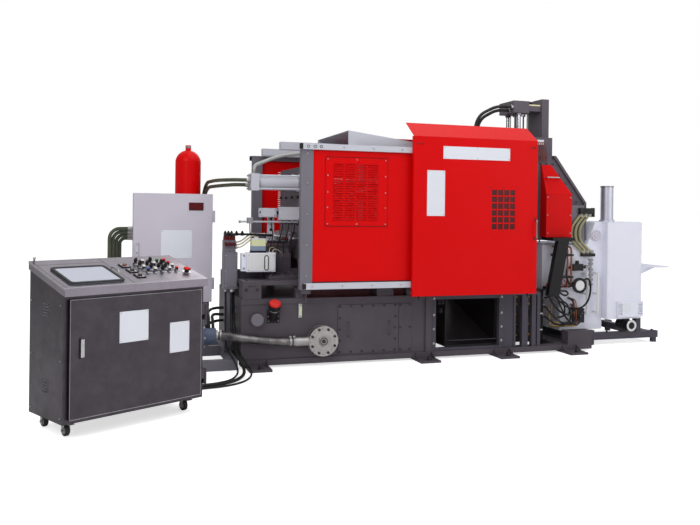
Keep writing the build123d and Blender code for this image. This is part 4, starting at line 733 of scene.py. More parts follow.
def make_valves():
    """Solenoid valves over the junction box, with their plugs, and the pipes to the tail."""
    valve_x = [-2555 + (step + 0.5) * 104 / 3 for step in range(3)]
    made_piece("solenoid_coils", "valve_red", [
        *[(block, (x - 14.5, -398, 1075.5), (x + 14.5, -352, 1112)) for x in valve_x],
        *grid(rod, valve_x, -446, 1040, (0, 40.5, 0), 16.5)])
    made_piece("solenoid_plugs", "black_plastic", [
        *[(block, (x - 12, -345, 1075.5), (x + 12, -318, 1100)) for x in valve_x],
        *grid(rod, valve_x, -452, 1040, (0, 6, 0), 10)])
    fitting_x = (-2540, -2512, -2484, -2440, -2390)
    made_piece("valve_cross_pipe", "black_finish", [
        (tube, [(-2552, -372, 1123.5), (-2400, -372, 1126), (-2250, -368, 1122), (-2180, -362, 1118),
                (-2135, -360, 1115)], 10.5),
        *grid(hexagon, fitting_x, -372, 1112, (0, 0, 30), 15), *grid(rod, fitting_x, -372, 1142, (0, 0, 14), 9, 6.5),
        *[(block, (x - 16, -452, 1112), (x + 16, -398, 1133)) for x in (-2540, -2484)]])
    pipes = [(-405 + step * 30, 1010 + step * 22) for step in range(3)]
    made_piece("valve_pipes", "cream_hose", [
        (tube, [(-2451, y, z), (-2420, y, z), (-2380, y, z + 20), (-2310, y, z + 80), (-2270, y + 10, z + 75),
                (-2225, y + 30, z + 20), (-2205, -300, z - 40), (-2189.5, -280, z - 60)], 6.5)
        for y, z in pipes], soften=0)
    made_piece("valve_pipe_nuts", "zinc", [(hexagon, (-2451.5, y, z), (15.5, 0, 0), 11.5) for y, z in pipes])
    made_piece("junction_lid", "frame_grey", slabs(box_front, -420, (-2549, 668, -2442, 952)), soften=2)
    glands = [(hexagon, (-2478, -385, 650), (0, 0, -10), 22), (rod, (-2478, -385, 640), (0, 0, -18), 18, 14.5)]
    for x, y in ((-2530, -360), (-2455, -345)):
        glands += [(hexagon, (x, y, 650), (0, 0, -10), 14), (rod, (x, y, 640), (0, 0, -18), 11, 8)]
    made_piece("junction_glands", "bare_white", glands)
    made_piece("junction_screws", "zinc", grid(
        cap_screw, (-2539, -2452), box_front, (678, 810, 942), front, 9), soften=0)


def sight_outline(half_width, half_height, y):
    """A tall outline with round ends for the sight glass, as points."""
    points = []
    for k in range(32):
        angle = tau * k / 32
        rise = half_height if sin(angle) >= 0 else -half_height
        points.append((-2206 + half_width * cos(angle), y, 884 + rise + half_width * sin(angle)))
    return points


def make_lubricator():
    """Front, sight glass, oil levels, lid and grease lines of the central lubricator."""
    made_piece("lubricator_front", "bare_white", [(block, (-2370, -545.5, 812), (-2131, -540, 963))], soften=3)
    made_piece("sight_glass_frame", "black_plastic", [(prism, sight_outline(20, 46, -545), (0, -6, 0))])
    made_piece("sight_glass", "bare_white", [(prism, sight_outline(12.5, 46, -550.8), (0, -1.2, 0))], soften=0)
    made_piece("reservoir_oil", "tank_oil", [(block, (-2331.5, -526.5, 1028), (-2210.5, -438.5, 1083))])
    made_piece("reservoir_oil_low", "tank_blue", [(block, (-2331.5, -526.5, 988), (-2210.5, -438.5, 1027.5))])
    made_piece("reservoir_foot", "black_plastic", [(block, (-2335, -530, 969.5), (-2207, -435, 987.5))])
    made_piece("reservoir_lid", "bare_white", [
        (block, (-2333, -528, 1083.5), (-2209, -437, 1093)),
        (turned, (-2285, -485, 1093), up, ((0, 20), (10, 20), (13, 16), (13, 4)))])
    made_piece("lubricator_screws", "zinc", [
        *grid(cap_screw, (-2360, -2141), -545.5, (824, 951), front, 8),
        *grid(bolt, -2396, -510, (835, 945), front, 14)], soften=0)
    made_piece("grease_lines", "cream_hose", [
        (tube, [(-2170, -485, 970), (-2170, -485, 1000), (-2150, -470, 1015), (-2115, -430, 1010),
                (-2085, -380, 980), (-2080, -345, 950), (-2080, -329, 940)], 3.5),
        (tube, [(-2140, -485, 970), (-2140, -485, 990), (-2110, -470, 1000), (-2060, -430, 975),
                (-2030, -380, 940), (-2025, -345, 920), (-2025, -329, 915)], 3.5)], soften=0)


# Base

tank_face = -668
port_place = (-2309, -681.8, 412)
level_x, level_z = (-1944.5, -1939.5, -1922.5, -1917.5), (419, 442, 513, 536)
breather_tilt = radians(55)
breather_foot = (-2167, -648, 424)
suction_route = ((-2640, -560, 270), (-2560, -560, 270), (-2490, -708, 270), (-2105, -708, 220), (-1985, -708, 220))
strainer_x, strainer_z = -1742, 220
sole_x = (-2300, -775, 20, 758)
pump_routes = (
    ((-2440, -220, 465), (-2520, -220, 465), (-2620, -260, 468), (-2685, -390, 460), (-2695, -520, 430),
     (-2695, -555, 385), (-2695, -560, 335)),
    ((-2440, -285, 410), (-2530, -285, 410), (-2615, -320, 425), (-2655, -430, 425), (-2660, -520, 400),
     (-2660, -550, 370), (-2660, -555, 335)),
    ((-2440, -180, 350), (-2540, -180, 350), (-2650, -220, 335), (-2710, -330, 290), (-2720, -420, 270),
     (-2720, -460, 268), (-2720, -495, 268)),
    ((-2440, -250, 270), (-2540, -250, 262), (-2620, -280, 200), (-2680, -360, 165), (-2690, -440, 190),
     (-2680, -475, 215), (-2680, -505, 235)))


def make_tank_details():
    """Cover bolts, port, level, breather and suction line on the front of the tank."""
    made_piece("tank_cover_bolts", "dark_bolt", [
        *grid(bolt, [-1572 + k * 103.5 for k in range(6)], tank_face, (103, 501), front, 14),
        *grid(bolt, (-1003, -911), tank_face, (103, 302, 501), front, 14),
        *grid(bolt, (-1572, -1052), tank_face, (202.5, 302, 401.5), front, 14)], soften=0)
    made_piece("port_cover", "frame_grey", [
        (turned, port_place, front, ((0, 54), (26, 54), (32, 48), (32, 30), (30, 28), (30, 2)))])
    made_piece("level_frame", "bare_white", [
        (block, (level_x[near], -675.5, level_z[low]), (level_x[far], -660, level_z[high]))
        for near, far, low, high in ((0, 3, 0, 1), (0, 3, 2, 3), (0, 1, 1, 2), (2, 3, 1, 2))], soften=0.8)
    made_piece("level_glass", "tank_oil", [
        (block, (level_x[1], -675, level_z[1]), (level_x[2], -673.8, level_z[2]))], soften=0)
    made_piece("level_bolts", "zinc", grid(bolt, -1931, -675, (430, 525), front, 13))
    along = Vector((0, -cos(breather_tilt), sin(breather_tilt)))
    neck = Vector(breather_foot) + along * 105
    made_piece("breather_cap", "cap_red", [
        (turned, neck + along * 46.2, along, ((0, 49.5), (10, 49.5), (16, 44), (18, 20), (18.5, 4)))])
    made_piece("breather_band", "machined_steel", [
        (ring, neck - along * 12, along * 10, 48.5, 44.2, 40),
        *grid(cap_screw, (-2211, -2123), -670, (396, 436, 476), front, 9)])
    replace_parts(made_piece("suction_hose_braid", "hose_metal", [
        (ribbed_tube, suction_route, 35.5, 15, 4.2)], soften=0, sharp=False), "suction_hose")
    clamps = []
    for x, y, z, wide in ((-2640, -560, 270, 18), (-2606, -560, 270, 16),
                          (-2000, -708, 220, 15), (-2034, -708, 220, 16)):
        clamps.append((ring, (x, y, z), (wide, 0, 0), 39.5, 35, 40))
        middle = x + wide / 2
        clamps.append((block, (middle - 10, y - 8, z + 37), (middle + 10, y + 8, z + 50)))
    made_piece("suction_clamps", "zinc", clamps)
    studs = [(hexagon, (strainer_x + dx, -755, strainer_z + dz), (0, -11.5, 0), 12.5)
             for dx, dz in circle_places(8, 106.6, 0.5)]
    studs.append((hexagon, (strainer_x, -762, strainer_z), (0, -13, 0), 17))
    studs.append((ring, (strainer_x, -762, strainer_z), (0, -4, 0), 34, 26, 40))
    made_piece("strainer_bolts", "dark_bolt", studs)
    made_piece("strainer_cap", "zinc", [(ring, (strainer_x, -755.2, strainer_z), (0, -2.8, 0), 80, 60, 48),
                                        (rod, (strainer_x, -755, strainer_z), (0, -8, 0), 45, 40)])
    made_piece("pump_lines", "cable_black", [(tube, route, 13) for route in pump_routes], soften=0)
    made_piece("pump_line_nuts", "zinc", [(hexagon, route[0], (-22, 0, 0), 19) for route in pump_routes])


def make_base_details():
    """Anchor nuts and gussets on the sole plates, and screws and strips of the slideway."""
    made_piece("anchor_nuts", "dark_bolt", (
        grid(rod, sole_x, (-800, 800), 19, (0, 0, 5), 24) + grid(hexagon, sole_x, (-800, 800), 24, (0, 0, 19), 20.5)
        + grid(rod, sole_x, (-800, 800), 43, (0, 0, 15), 11.5)))
    made_piece("sole_gussets", "base_paint", [
        (prism, [(x + dx, side * 675, 20), (x + dx, side * 755, 20), (x + dx, side * 675, 68)], (8, 0, 0))
        for x in sole_x for side in (-1, 1) for dx in (-85, 77)])
    ways, strips = [], []
    for side in (-1, 1):
        ways += grid(cap_screw, [-2390 + k * 285 for k in range(9)], (side * 515, side * 625), 737, up, 16)
        ways += grid(bolt, (-2400, -2305), side * 672, 665, (0, side, 0), 20)
        ways.append((block, (-2385, side * 671.5, 690), (-2318, side * 673.5, 700)))
        strips.append((block, (-1930, side * 474, 736.5), (-66, side * 656, 738.5)))
    made_piece("slideway_screws", "dark_bolt", ways, soften=0)
    made_piece("slide_strips", "oiled_steel", strips)


# Bay, manifold and injection unit

injection_routes = (
    ((640, -435, 580), (640, -470, 550), (660, -520, 460), (740, -540, 360), (860, -530, 330), (950, -470, 360),
     (990, -400, 400), (998, -330, 410)),
    ((680, -435, 580), (680, -480, 555), (710, -530, 500), (790, -550, 420), (890, -530, 400), (950, -450, 450),
     (965, -390, 475), (968, -330, 480)),
    ((720, -435, 580), (720, -490, 550), (730, -560, 420), (790, -580, 290), (900, -560, 235), (1000, -500, 250),
     (1035, -440, 290), (1040, -414, 300)),
    ((620, -420, 420), (620, -470, 415), (650, -550, 330), (760, -570, 250), (900, -540, 240), (965, -450, 290),
     (975, -390, 325), (975, -330, 330)),
    ((620, -420, 320), (620, -470, 315), (680, -520, 250), (800, -530, 228), (900, -500, 290), (910, -430, 400),
     (905, -380, 440), (902, -330, 445)),
    ((620, -420, 500), (620, -465, 500), (660, -500, 530), (740, -500, 530), (820, -490, 440), (850, -450, 330),
     (850, -390, 290), (850, -330, 285)),
    ((760, -435, 580), (760, -480, 560), (800, -520, 520), (860, -500, 540), (880, -430, 560), (880, -380, 555),
     (880, -330, 550)))
block_foot = 570
furnace_front = -330
post_front = -420


def make_manifold_details():
    """Taps, fittings and hoses of the water manifold, and what stands in the bay."""
    tap_z = (197, 355)
    made_piece("manifold_taps", "brass", (
        grid(hexagon, 528, -455, tap_z, (0, -20, 0), 12) + grid(rod, 528, -475, tap_z, (0, -25, 0), 9)))
    made_piece("tap_levers", "bare_white", [
        (block, (506, -507.5, z - 6), (562, -498.5, z + 6)) for z in tap_z], soften=2)
    fitting_x, fitting_z = (163, 262, 284, 365, 384, 422), (150, 250, 350, 450, 520)
    made_piece("manifold_fittings", "brass", (
        grid(hexagon, fitting_x, -464, fitting_z, (0, -15, 0), 11)
        + grid(rod, fitting_x, -479, fitting_z, (0, -15, 0), 6.5)))
    top_x = (163, 262, 365, 422)
    made_piece("manifold_top_fittings", "zinc", (
        grid(rod, top_x, -441, 560, (0, 0, 30), 12) + grid(hexagon, top_x, -441, 562, (0, 0, 12), 15.5)))
    made_piece("manifold_hoses", "cable_black", [
        (tube, [(x, -494, z), (x, -515, z), (x + 20, -530, z - 30), (x + 30, -530, z - 90),
                (x + 15, -520, z - 140), (x - 2, -505, z - 105), (x, -494, z - 100)], 5.5)
        for x, z in ((163, 450), (284, 350), (365, 450), (422, 350))], soften=0)
    valves = []
    for x, z in ((-620, 515), (-585, 515), (-602, 440)):
        valves.append((block, (x - 14, -658.5, z - 22), (x + 14, -628, z + 18)))
        valves.append((rod, (x, -658.5, z), (0, -13.5, 0), 9))
    made_piece("bay_valves", "black_plastic", valves)
    made_piece("bay_bolts", "zinc", grid(bolt, (-674, 20), -660, (140, 270, 400, 550), front, 16), soften=0)
    made_piece("chute_lip", "dark_bolt", [(rod, (-532, -640, 156.5), (506, 0, 0), 5)], soften=0)


def make_line_details():
    """Hoses, wires and pipes that cross under the injection unit, with the blocks they start from."""
    made_piece("injection_lines", "cable_black", [(tube, route, 9) for route in injection_routes], soften=0)
    nuts = []
    for (x, y, z), *_, (end_x, end_y, end_z) in injection_routes:
        if z > block_foot:
            nuts.append((hexagon, (x, y, z + 2), (0, 0, -18), 14.5))
        else:
            nuts.append((hexagon, (x, y + 1, z), (0, -17, 0), 14.5))
        if end_y == furnace_front:
            nuts.append((hexagon, (end_x, end_y + 1, end_z), (0, -17, 0), 14.5))
    made_piece("injection_line_nuts", "zinc", nuts)
    made_piece("line_block", "black_finish", [
        (block, (620, -462, 580), (786, -408, 614)), (block, (700, -410, 584), (760, furnace_front, 610))], soften=3)
    made_piece("signal_wires", "wire_red", [
        (tube, [(x, -440, 613), (x, -442, 640 + rise), (x + 30, -455, 672 + rise), (x + 100, -455, 660 + rise),
                (x + 150, -420, 620 + rise), (x + 170, -370, 595 + rise), (x + 170, furnace_front, 590 + rise)], 4.2)
        for x, rise in ((640, 0), (672, 12), (704, -6), (736, 18))], soften=0)
    made_piece("oil_pipes", "brass", [
        (tube, [(655, -420, 400), (655, -465, 400), (655, -475, 380), (655, -475, 270), (660, -475, 228),
                (700, -475, 218.5), (900, -475, 218.5), (985, -470, 218.5), (998, -440, 219), (998, -430, 219)], 8.5),
        (tube, [(690, -420, 470), (690, -450, 470), (692, -458, 450), (692, -458, 300), (700, -455, 262),
                (740, -450, 250), (820, -440, 248), (880, -430, 224)], 6.5)], soften=0)
    made_piece("copper_pipes_low", "copper", [
        (tube, [(x, furnace_front, 470), (x, -375, 470), (x, -405, 445), (x, -410, 400), (x, -410, 270),
                (x + 4, -405, 225), (x + 6, -375, 205), (x + 6, furnace_front, 205)], 5.5)
        for x in (990, 1010)], soften=0)
    made_piece("igniter_box", "black_plastic", [(block, (1016, -415, 233), (1106, furnace_front, 378))], soften=4)
    made_piece("gas_block", "bay_grey", [
        (block, (880, -430, 205), (1000, furnace_front, 238)),
        *grid(hexagon, (905, 960), -430, 221.5, (0, -16, 0), 14)], soften=3)
    made_piece("igniter_screws", "zinc", [
        (cap_screw, (1028 + 16.5 * k, -415, 248 + 26 * k), front, 8) for k in range(5)], soften=0)


def make_injection_details():
    """Flanges, bolts, sensors and pipes of the injection unit and its yoke."""
    bolts = []
    for side in (-1, 1):
        cheek, out = side * 290, (0, side, 0)
        bolts += grid(bolt, 270, cheek, (1225, 1335, 1445), out, 22) + grid(bolt, 400, cheek, (1225, 1445), out, 22)
        bolts += grid(cap_screw, (650, 720, 790), cheek, (1840, 1900), out, 18)
        bolts += [(bolt, (x, cheek, z), out, 16) for x, z in (
            (870, 1730), (940, 1640), (1010, 1550), (1080, 1460), (1120, 1340), (1120, 1200), (1120, 1080))]
    bolts += grid(cap_screw, 440, (-200, 0, 200), (1860, 1960, 2060), left, 20)
    bolts += grid(bolt, (470, 550), (-230, 230), 2110, up, 22)
    bolts += grid(cap_screw, 832, (-115, 0, 115), (2180, 2280), right, 18)
    made_piece("injection_bolts", "dark_bolt", bolts, soften=0)
    made_piece("injection_flanges", "machined_steel", [
        (block, (492, -78, 2109.5), (648, 78, 2132)), (ring, (570, 0, 2132), (0, 0, 18), 66, 51.5, 48),
        (ring, (570, 0, 2344), (0, 0, 24.5), 66, 51.5, 48),
        *grid(hexagon, (506, 634), (-64, 64), 2132, (0, 0, 14), 13),
        *grid(rod, (506, 634), (-64, 64), 2146, (0, 0, 222.5), 5.5),
        *grid(ring, 500, (-110, 110), (2110, 2348), (0, 0, 19.5), 27.5, 17.8)])
    made_piece("yoke_cap", "cream_cap", [(block, (605, -131.5, 2445.5), (745, 131.5, 2462))], soften=6)
    ends = []
    for y, z in ((-128, 2425), (-84, 2392)):
        ends += [(rod, (396, y, z), (24, 0, 0), 20.5), (hexagon, (398, y, z), (12, 0, 0), 24.5),
                 (rod, (170, y, 1903), (0, 0, 26), 20.5), (hexagon, (170, y, 1906), (0, 0, 12), 24.5)]
    made_piece("conduit_ends", "zinc", ends)
    yoke_x = (620, 670, 720)
    made_piece("yoke_fittings", "black_plastic", (
        grid(hexagon, yoke_x, 20, 2462, (0, 0, 8), 11) + grid(rod, yoke_x, 20, 2470, (0, 0, 20), 7.5)))
    made_piece("yoke_hoses", "cable_black", [
        (tube, [(620, 20, 2490), (620, 20, 2508), (640, 20, 2512), (700, 20, 2512), (720, 20, 2508),
                (720, 20, 2490)], 5),
        (tube, [(670, 20, 2490), (670, 20, 2500), (690, 30, 2504), (730, 50, 2504), (750, 60, 2500)], 5)], soften=0)
    made_piece("head_plates", "bare_plate", slabs(-273, -269.5, (455, 1985, 560, 2075), (600, 2035, 700, 2085)))
    made_piece("head_wires", "wire_brown", [
        (tube, [(x, -273, 2060), (x, -290, 2060), (x + 4, -300, 2040), (x + 12, -300, 1990), (x + 20, -310, 1950),
                (x + 20, -315.5, 1915), (x + 18, -315, 1860)], 4) for x in range(600, 710, 22)], soften=0)
    made_piece("column_rails", "machined_steel", [
        (block, (832, y, 2120), (846, y + 30, 2360)) for y in (-60, 30)])
    made_piece("nozzle_guard_screws", "zinc", grid(
        cap_screw, (672, 937), -400, (1140, 1320, 1500), front, 12), soften=0)
    made_piece("nozzle_guard_handle", "zinc", [
        (tube, [(680, -347, 1690), (680, -370, 1697.5), (682, -379, 1700.5), (692, -380, 1701), (808, -380, 1701),
                (818, -379, 1700.5), (820, -370, 1697.5), (820, -347, 1690)], 6.5)], soften=0)
    made_piece("limit_box", "frame_grey", (
        slabs(-330, -290, (960, 1050, 1150, 1425)) + slabs(-333.5, -330, (968, 1058, 1142, 1417))), soften=3)
    made_piece("limit_box_screws", "zinc", grid(cap_screw, (978, 1132), -333.5, (1068, 1407), front, 9), soften=0)
    made_piece("nozzle_guard_fold", "guard_red", [(rod, (656.2, -399.5, 1530), (296.6, 0, 0), 3.5)], soften=0)
    made_piece("copper_pipes", "copper", [
        (tube, [(x, furnace_front, 1005), (x, -395, 1003), (x, -418, 985), (x, -420, 940), (x, -420, 720),
                (x, -418, 615), (x, -395, 597), (x, furnace_front, 595)], 9.5) for x in (775, 896, 940)], soften=0)
    made_piece("pipe_clamps", "black_plastic", slabs(
        -433, furnace_front, (755, 690, 960, 710), (755, 910, 960, 930)), soften=2)


# Furnace

gas_line = (1186, -395)
gas_joints = (607, 657, 704, 759, 819, 857)
air_ring_x, air_ring_z = 1025, 614


def make_furnace_details():
    """Port, lids, screws, gas train and blower parts of the furnace."""
    made_piece("hopper_port", "cabinet_grey", [(turned, (1280, -346, 1120), front, (
        (-2, 56), (10, 56), (13, 52), (13, 42), (8, 40), (8, 26), (16, 24), (16, 10), (13, 9), (13, 1)))])
    made_piece("furnace_screws", "furnace_white", (
        grid(cap_screw, (1392, 1775), post_front, (300, 520, 740, 960, 1200), front, 11)
        + grid(cap_screw, (1393, 1520, 1650, 1775), (-395, 395), 1252, up, 12)
        + grid(cap_screw, (900, 1060, 1220, 1340), furnace_front, (200, 990), front, 10)
        + grid(cap_screw, (1498, 1773), -450, (292, 424), front, 10)
        + grid(cap_screw, 1796, (-380, 380), (300, 600, 950, 1210), right, 12)), soften=0)
    made_piece("furnace_plate", "bare_plate", slabs(-451.2, -450, (1552, 330, 1640, 420)), soften=0.5)
    made_piece("furnace_lids", "furnace_white", [
        (block, (1385, -405, 1251.5), (1782, 405, 1258)), (block, (690, -300, 1019.5), (1175, 300, 1034))], soften=3)
    made_piece("lifting_handles", "dark_bolt", [
        (tube, [(x, -50, 1034), (x, -50, 1066), (x, -35, 1074), (x, 35, 1074), (x, 50, 1066), (x, 50, 1034)], 7)
        for x in (800, 1060)], soften=0)
    made_piece("flue_trim", "machined_steel", [
        (ring, (1525, -190, 1620), (0, 0, 15), 69, 64, 48),
        *[(bolt, (1525 + dx, dy - 190, 1274), up, 9) for dx, dy in circle_places(6, 72)]])
    ends = []
    for x in (1100, 1150, 1200):
        ends += [(hexagon, (x, -352, 1338), (0, 0, -16), 19.5), (rod, (x, -352, 1322), (0, 0, -18), 16.5),
                 (rod, (x + 30, -352, 946), (0, 0, 20), 16.5), (hexagon, (x + 30, -352, 931), (0, 0, 15), 19.5)]
    made_piece("arc_hose_ends", "zinc", ends)
    made_piece("gas_train", "machined_steel", [
        (rod, (*gas_line, 600), (0, 0, 280), 14), *grid(hexagon, *gas_line, gas_joints, (0, 0, 22), 25),
        *grid(rod, *gas_line, (640, 800), (0, 65, 0), 11), *grid(rod, *gas_line, (640, 800), (-56, 0, 0), 10),
        *grid(hexagon, 1136, -395, (640, 800), (-16, 0, 0), 18)])
    made_piece("gas_valve", "black_plastic", [
        (block, (965, -420, 760), (1085, -370, 828)), (rod, (1085, -395, 795), (37, 0, 0), 14),
        (rod, (1025, -395, 828), (0, 0, 34), 22, 18), (block, (1000, -370.5, 770), (1050, -330, 815))], soften=3)
    made_piece("gas_hose", "cable_black", [
        (tube, [(965, -395, 795), (930, -395, 795), (900, -405, 775), (880, -420, 710), (900, -435, 640),
                (930, -440, 616), (949, -440, 614)], 10),
        (tube, [(1080, -440, 668), (1110, -440, 690), (1150, -440, 660), (1160, -440, 560), (1130, -440, 450),
                (1060, -440, 390), (1010, -415, 375), (990, -370, 370), (990, furnace_front, 370)], 10)], soften=0)
    made_piece("air_ring", "black_plastic", [
        (ring, (air_ring_x, -425, air_ring_z), (0, -30, 0), 78, 53, 48),
        (rod, (air_ring_x, -425, air_ring_z), (0, -20, 0), 53.5),
        (block, (1000, -425.5, 590), (1050, furnace_front, 640))], soften=4)
    made_piece("air_ring_face", "bare_white", [(turned, (air_ring_x, -445, air_ring_z), front, (
        (0, 52), (6, 52), (9, 48), (9, 12), (12, 11), (12, 1)))])
    tube_x = (1142, 1273)
    made_piece("pale_tubes", "bare_white", (
        grid(rod, tube_x, -400, 309, (0, 0, 437), 12)
        + slabs(-400, furnace_front, *[(x - 16, z - 7, x + 16, z + 7) for x in tube_x for z in (330, 520, 730)])),
        soften=1)
    made_piece("arc_box", "black_plastic", slabs(-352, -312.5, (1236, 1306, 1262, 1400)), soften=3)
    made_piece("blower_ring", "bare_white", [(ring, (1640, -460.5, 190), (0, -6, 0), 58, 36, 48)])
    made_piece("blower_hub", "black_plastic", [
        (rod, (1640, -460.5, 190), (0, -3.5, 0), 36),
        (turned, (1640, -464, 190), front, ((0, 20), (4, 19), (6, 6)))])
    made_piece("shelf_brackets", "furnace_white", [
        (prism, [(1796, y, 780), (2180, y, 780), (1796, y, 640)], (0, 10, 0)) for y in (-205, 195)])
    made_piece("skid_bolts", "dark_bolt", grid(bolt, (1080, 1400, 1800, 1960), (-380, 380), 120, up, 20), soften=0)


# Cabinet, pump and accumulator

cabinet_face = -77
lock_x = -3271.5
accumulator_place = (-2795, 330)
pump_y, pump_z = -560, 270


def on_cabinet_door(name, finish, shapes, soften=0):
    made_piece(name, finish, shapes, "cabinet_door", soften)


def make_cabinet_details():
    """Window, plate, lock and vents of the cabinet, its cable bundle, and the accumulator's straps."""
    face = cabinet_face
    on_cabinet_door("cabinet_window_frame", "black_plastic", slabs(face - 5, face, (-2824, 1329, -2694, 1400)), 2)
    on_cabinet_door("cabinet_window_pane", "window_red", slabs(face - 6.4, face - 4.8, (-2819, 1334, -2699, 1395)))
    on_cabinet_door("cabinet_plates", "bare_plate", slabs(face - 1.5, face, (-3066, 900, -2792, 1151)), 0.5)
    on_cabinet_door("cabinet_rivets", "zinc", (
        grid(cap_screw, (-3054, -2804), face - 1.2, (912, 1139), front, 7)
        + grid(cap_screw, lock_x, face - 14, (895, 1025), front, 12)))
    on_cabinet_door("cabinet_lock", "zinc", [
        (turned, (lock_x, face - 13.5, 955), front, ((0, 9), (3, 9), (4, 7), (4, 2)))])
    made_piece("cabinet_vents", "cabinet_grey", [
        (prism, [(x, y, z + dz) for x, dz in ((-3302, 7), (-3309, -4), (-3307.5, -5), (-3302, 3))], (0, 90, 0))
        for z in range(640, 838, 22) for y in (-10, 110)], soften=0)
    ends = []
    for y, z in ((60, 1160), (96, 1130), (132, 1100), (168, 1070)):
        ends += [(hexagon, (-3302, y, z), (-14, 0, 0), 19.5), (rod, (-3316, y, z), (-30, 0, 0), 18.5),
                 (rod, (-3290, y, 120), (-30, 0, 0), 18.5)]
    made_piece("bundle_ends", "zinc", ends)
    straps = []
    for z in (800, 1350):
        straps += [(ring, (*accumulator_place, z - 16), (0, 0, 32), 121.5, 118.5, 64),
                   (block, (-2809, 196, z - 16), (-2781, 212, z + 16)), (bolt, (-2781, 203, z), right, 14)]
    made_piece("accumulator_straps", "zinc", straps)
    made_piece("accumulator_valve", "machined_steel", [
        (hexagon, (*accumulator_place, 1918), (0, 0, 18), 30),
        (turned, (*accumulator_place, 1936), up, ((0, 26.2), (4, 26.2), (10, 19), (10, 5)))])


def make_pump_details():
    """Fan grille, terminal box, plate and screws of the pump's motor."""
    grille = [(ring, (-3060.5, pump_y, pump_z), (-3, 0, 0), radius + 4, radius - 4, 48)
              for radius in (30, 52, 74, 94)]
    grille += [(rod, (-3062, pump_y, pump_z), (0, dy, dz), 2.2, None, 8) for dy, dz in circle_places(8, 98)]
    made_piece("motor_grille", "pump_blue", grille, soften=0)
    made_piece("terminal_lid", "pump_blue", [
        (block, (-3005, -610, 434), (-2905, -510, 447)), (block, (-2998, -608, 360), (-2912, -604.8, 420))], soften=3)
    made_piece("pump_screws", "zinc", [
        *grid(cap_screw, (-2996, -2914), (-601, -519), 447, up, 9),
        *[(hexagon, (-2745, pump_y + dy, pump_z + dz), (10, 0, 0), 11) for dy, dz in circle_places(6, 92)],
        *grid(bolt, (-3010, -2830), (-655, -465), 110, up, 18)], soften=0)
    made_piece("motor_plate", "bare_plate", slabs(-606.5, -605, (-2990, 372, -2920, 412)), soften=0)


# Operator console

screen_middle = (-262, -55)
switch_rows = (69, -28, -125)
button_places = [(155 + 54 * column, 111 - 54 * row) for row in range(4) for column in range(5)]
button_kinds = ("knob", "white", "knob", "green", "red",
                "knob", "knob", "white", "knob", "red",
                "white", "knob", "knob", "knob", "white",
                "blue", "white", "knob", "white", "red")
button_cap = ((0, 11.8), (4.9, 11.8), (7, 9.44), (7, 1))
button_foot = 18
stop_place = (420, -100)
console_door_face = -242
caster_places = [(x, y) for x in (-410, 410) for y in (-139, 139)]
hub_outline = ((0, 22), (1.4, 21.5), (1.8, 16), (0.5, 14), (1, 10), (2.4, 9), (2.4, 6))
wheel_trail, wheel_height = 28, 34

console_floor = Matrix.Translation((-3.436, -1.949, 0)) @ Matrix.Rotation(radians(29), 4, "Z")
console_lid = console_floor @ Matrix.Translation((0, -0.020, 0.950)) @ Matrix.Rotation(0.26763, 4, "X")


def on_lid(name, finish, shapes, soften=0):
    """A piece in the console lid's own frame."""
    made_piece(name, finish, shapes, soften=soften, place=console_lid)


def on_console(name, finish, shapes, body="machine", soften=0):
    """A piece in the console's own frame."""
    made_piece(name, finish, shapes, body, soften, console_floor)


def rounded_outline(middle, size, corner, height, steps=6):
    """A level rectangle with round corners, as points."""
    points = []
    for quarter, (sign_x, sign_y) in enumerate(((1, 1), (-1, 1), (-1, -1), (1, -1))):
        centre_x = middle[0] + sign_x * (size[0] / 2 - corner)
        centre_y = middle[1] + sign_y * (size[1] / 2 - corner)
        for step in range(steps + 1):
            angle = (quarter + step / steps) * pi / 2
            points.append((centre_x + corner * cos(angle), centre_y + corner * sin(angle), height))
    return points


def frame_ring(form, middle, size, corner, wide, height, thick):
    """A rounded rectangular frame that lies flat."""
    upper = [side - thick for side in size]
    inner = [side - 2 * wide for side in size]
    inner_corner = corner - wide * 0.6
    skin(form, [rounded_outline(middle, *values) for values in (
        (size, corner, height), (upper, corner, height + thick),
        (inner, inner_corner, height + thick), (inner, inner_corner, height))], True)


def selector(form, x, y, turn):
    """A round knob with its raised grip, turned to one side."""
    turned(form, (x, y, button_foot), up, ((0, 13), (9, 12.5), (10, 11), (10, 1)), 24)
    across = Vector((cos(turn), sin(turn), 0)) * 12.5
    other = Vector((-sin(turn), cos(turn), 0)) * 3.5
    centre = Vector((x, y, 27))
    prism(form, [centre + across + other, centre - across + other, centre - across - other,
                 centre + across - other], (0, 0, 12))


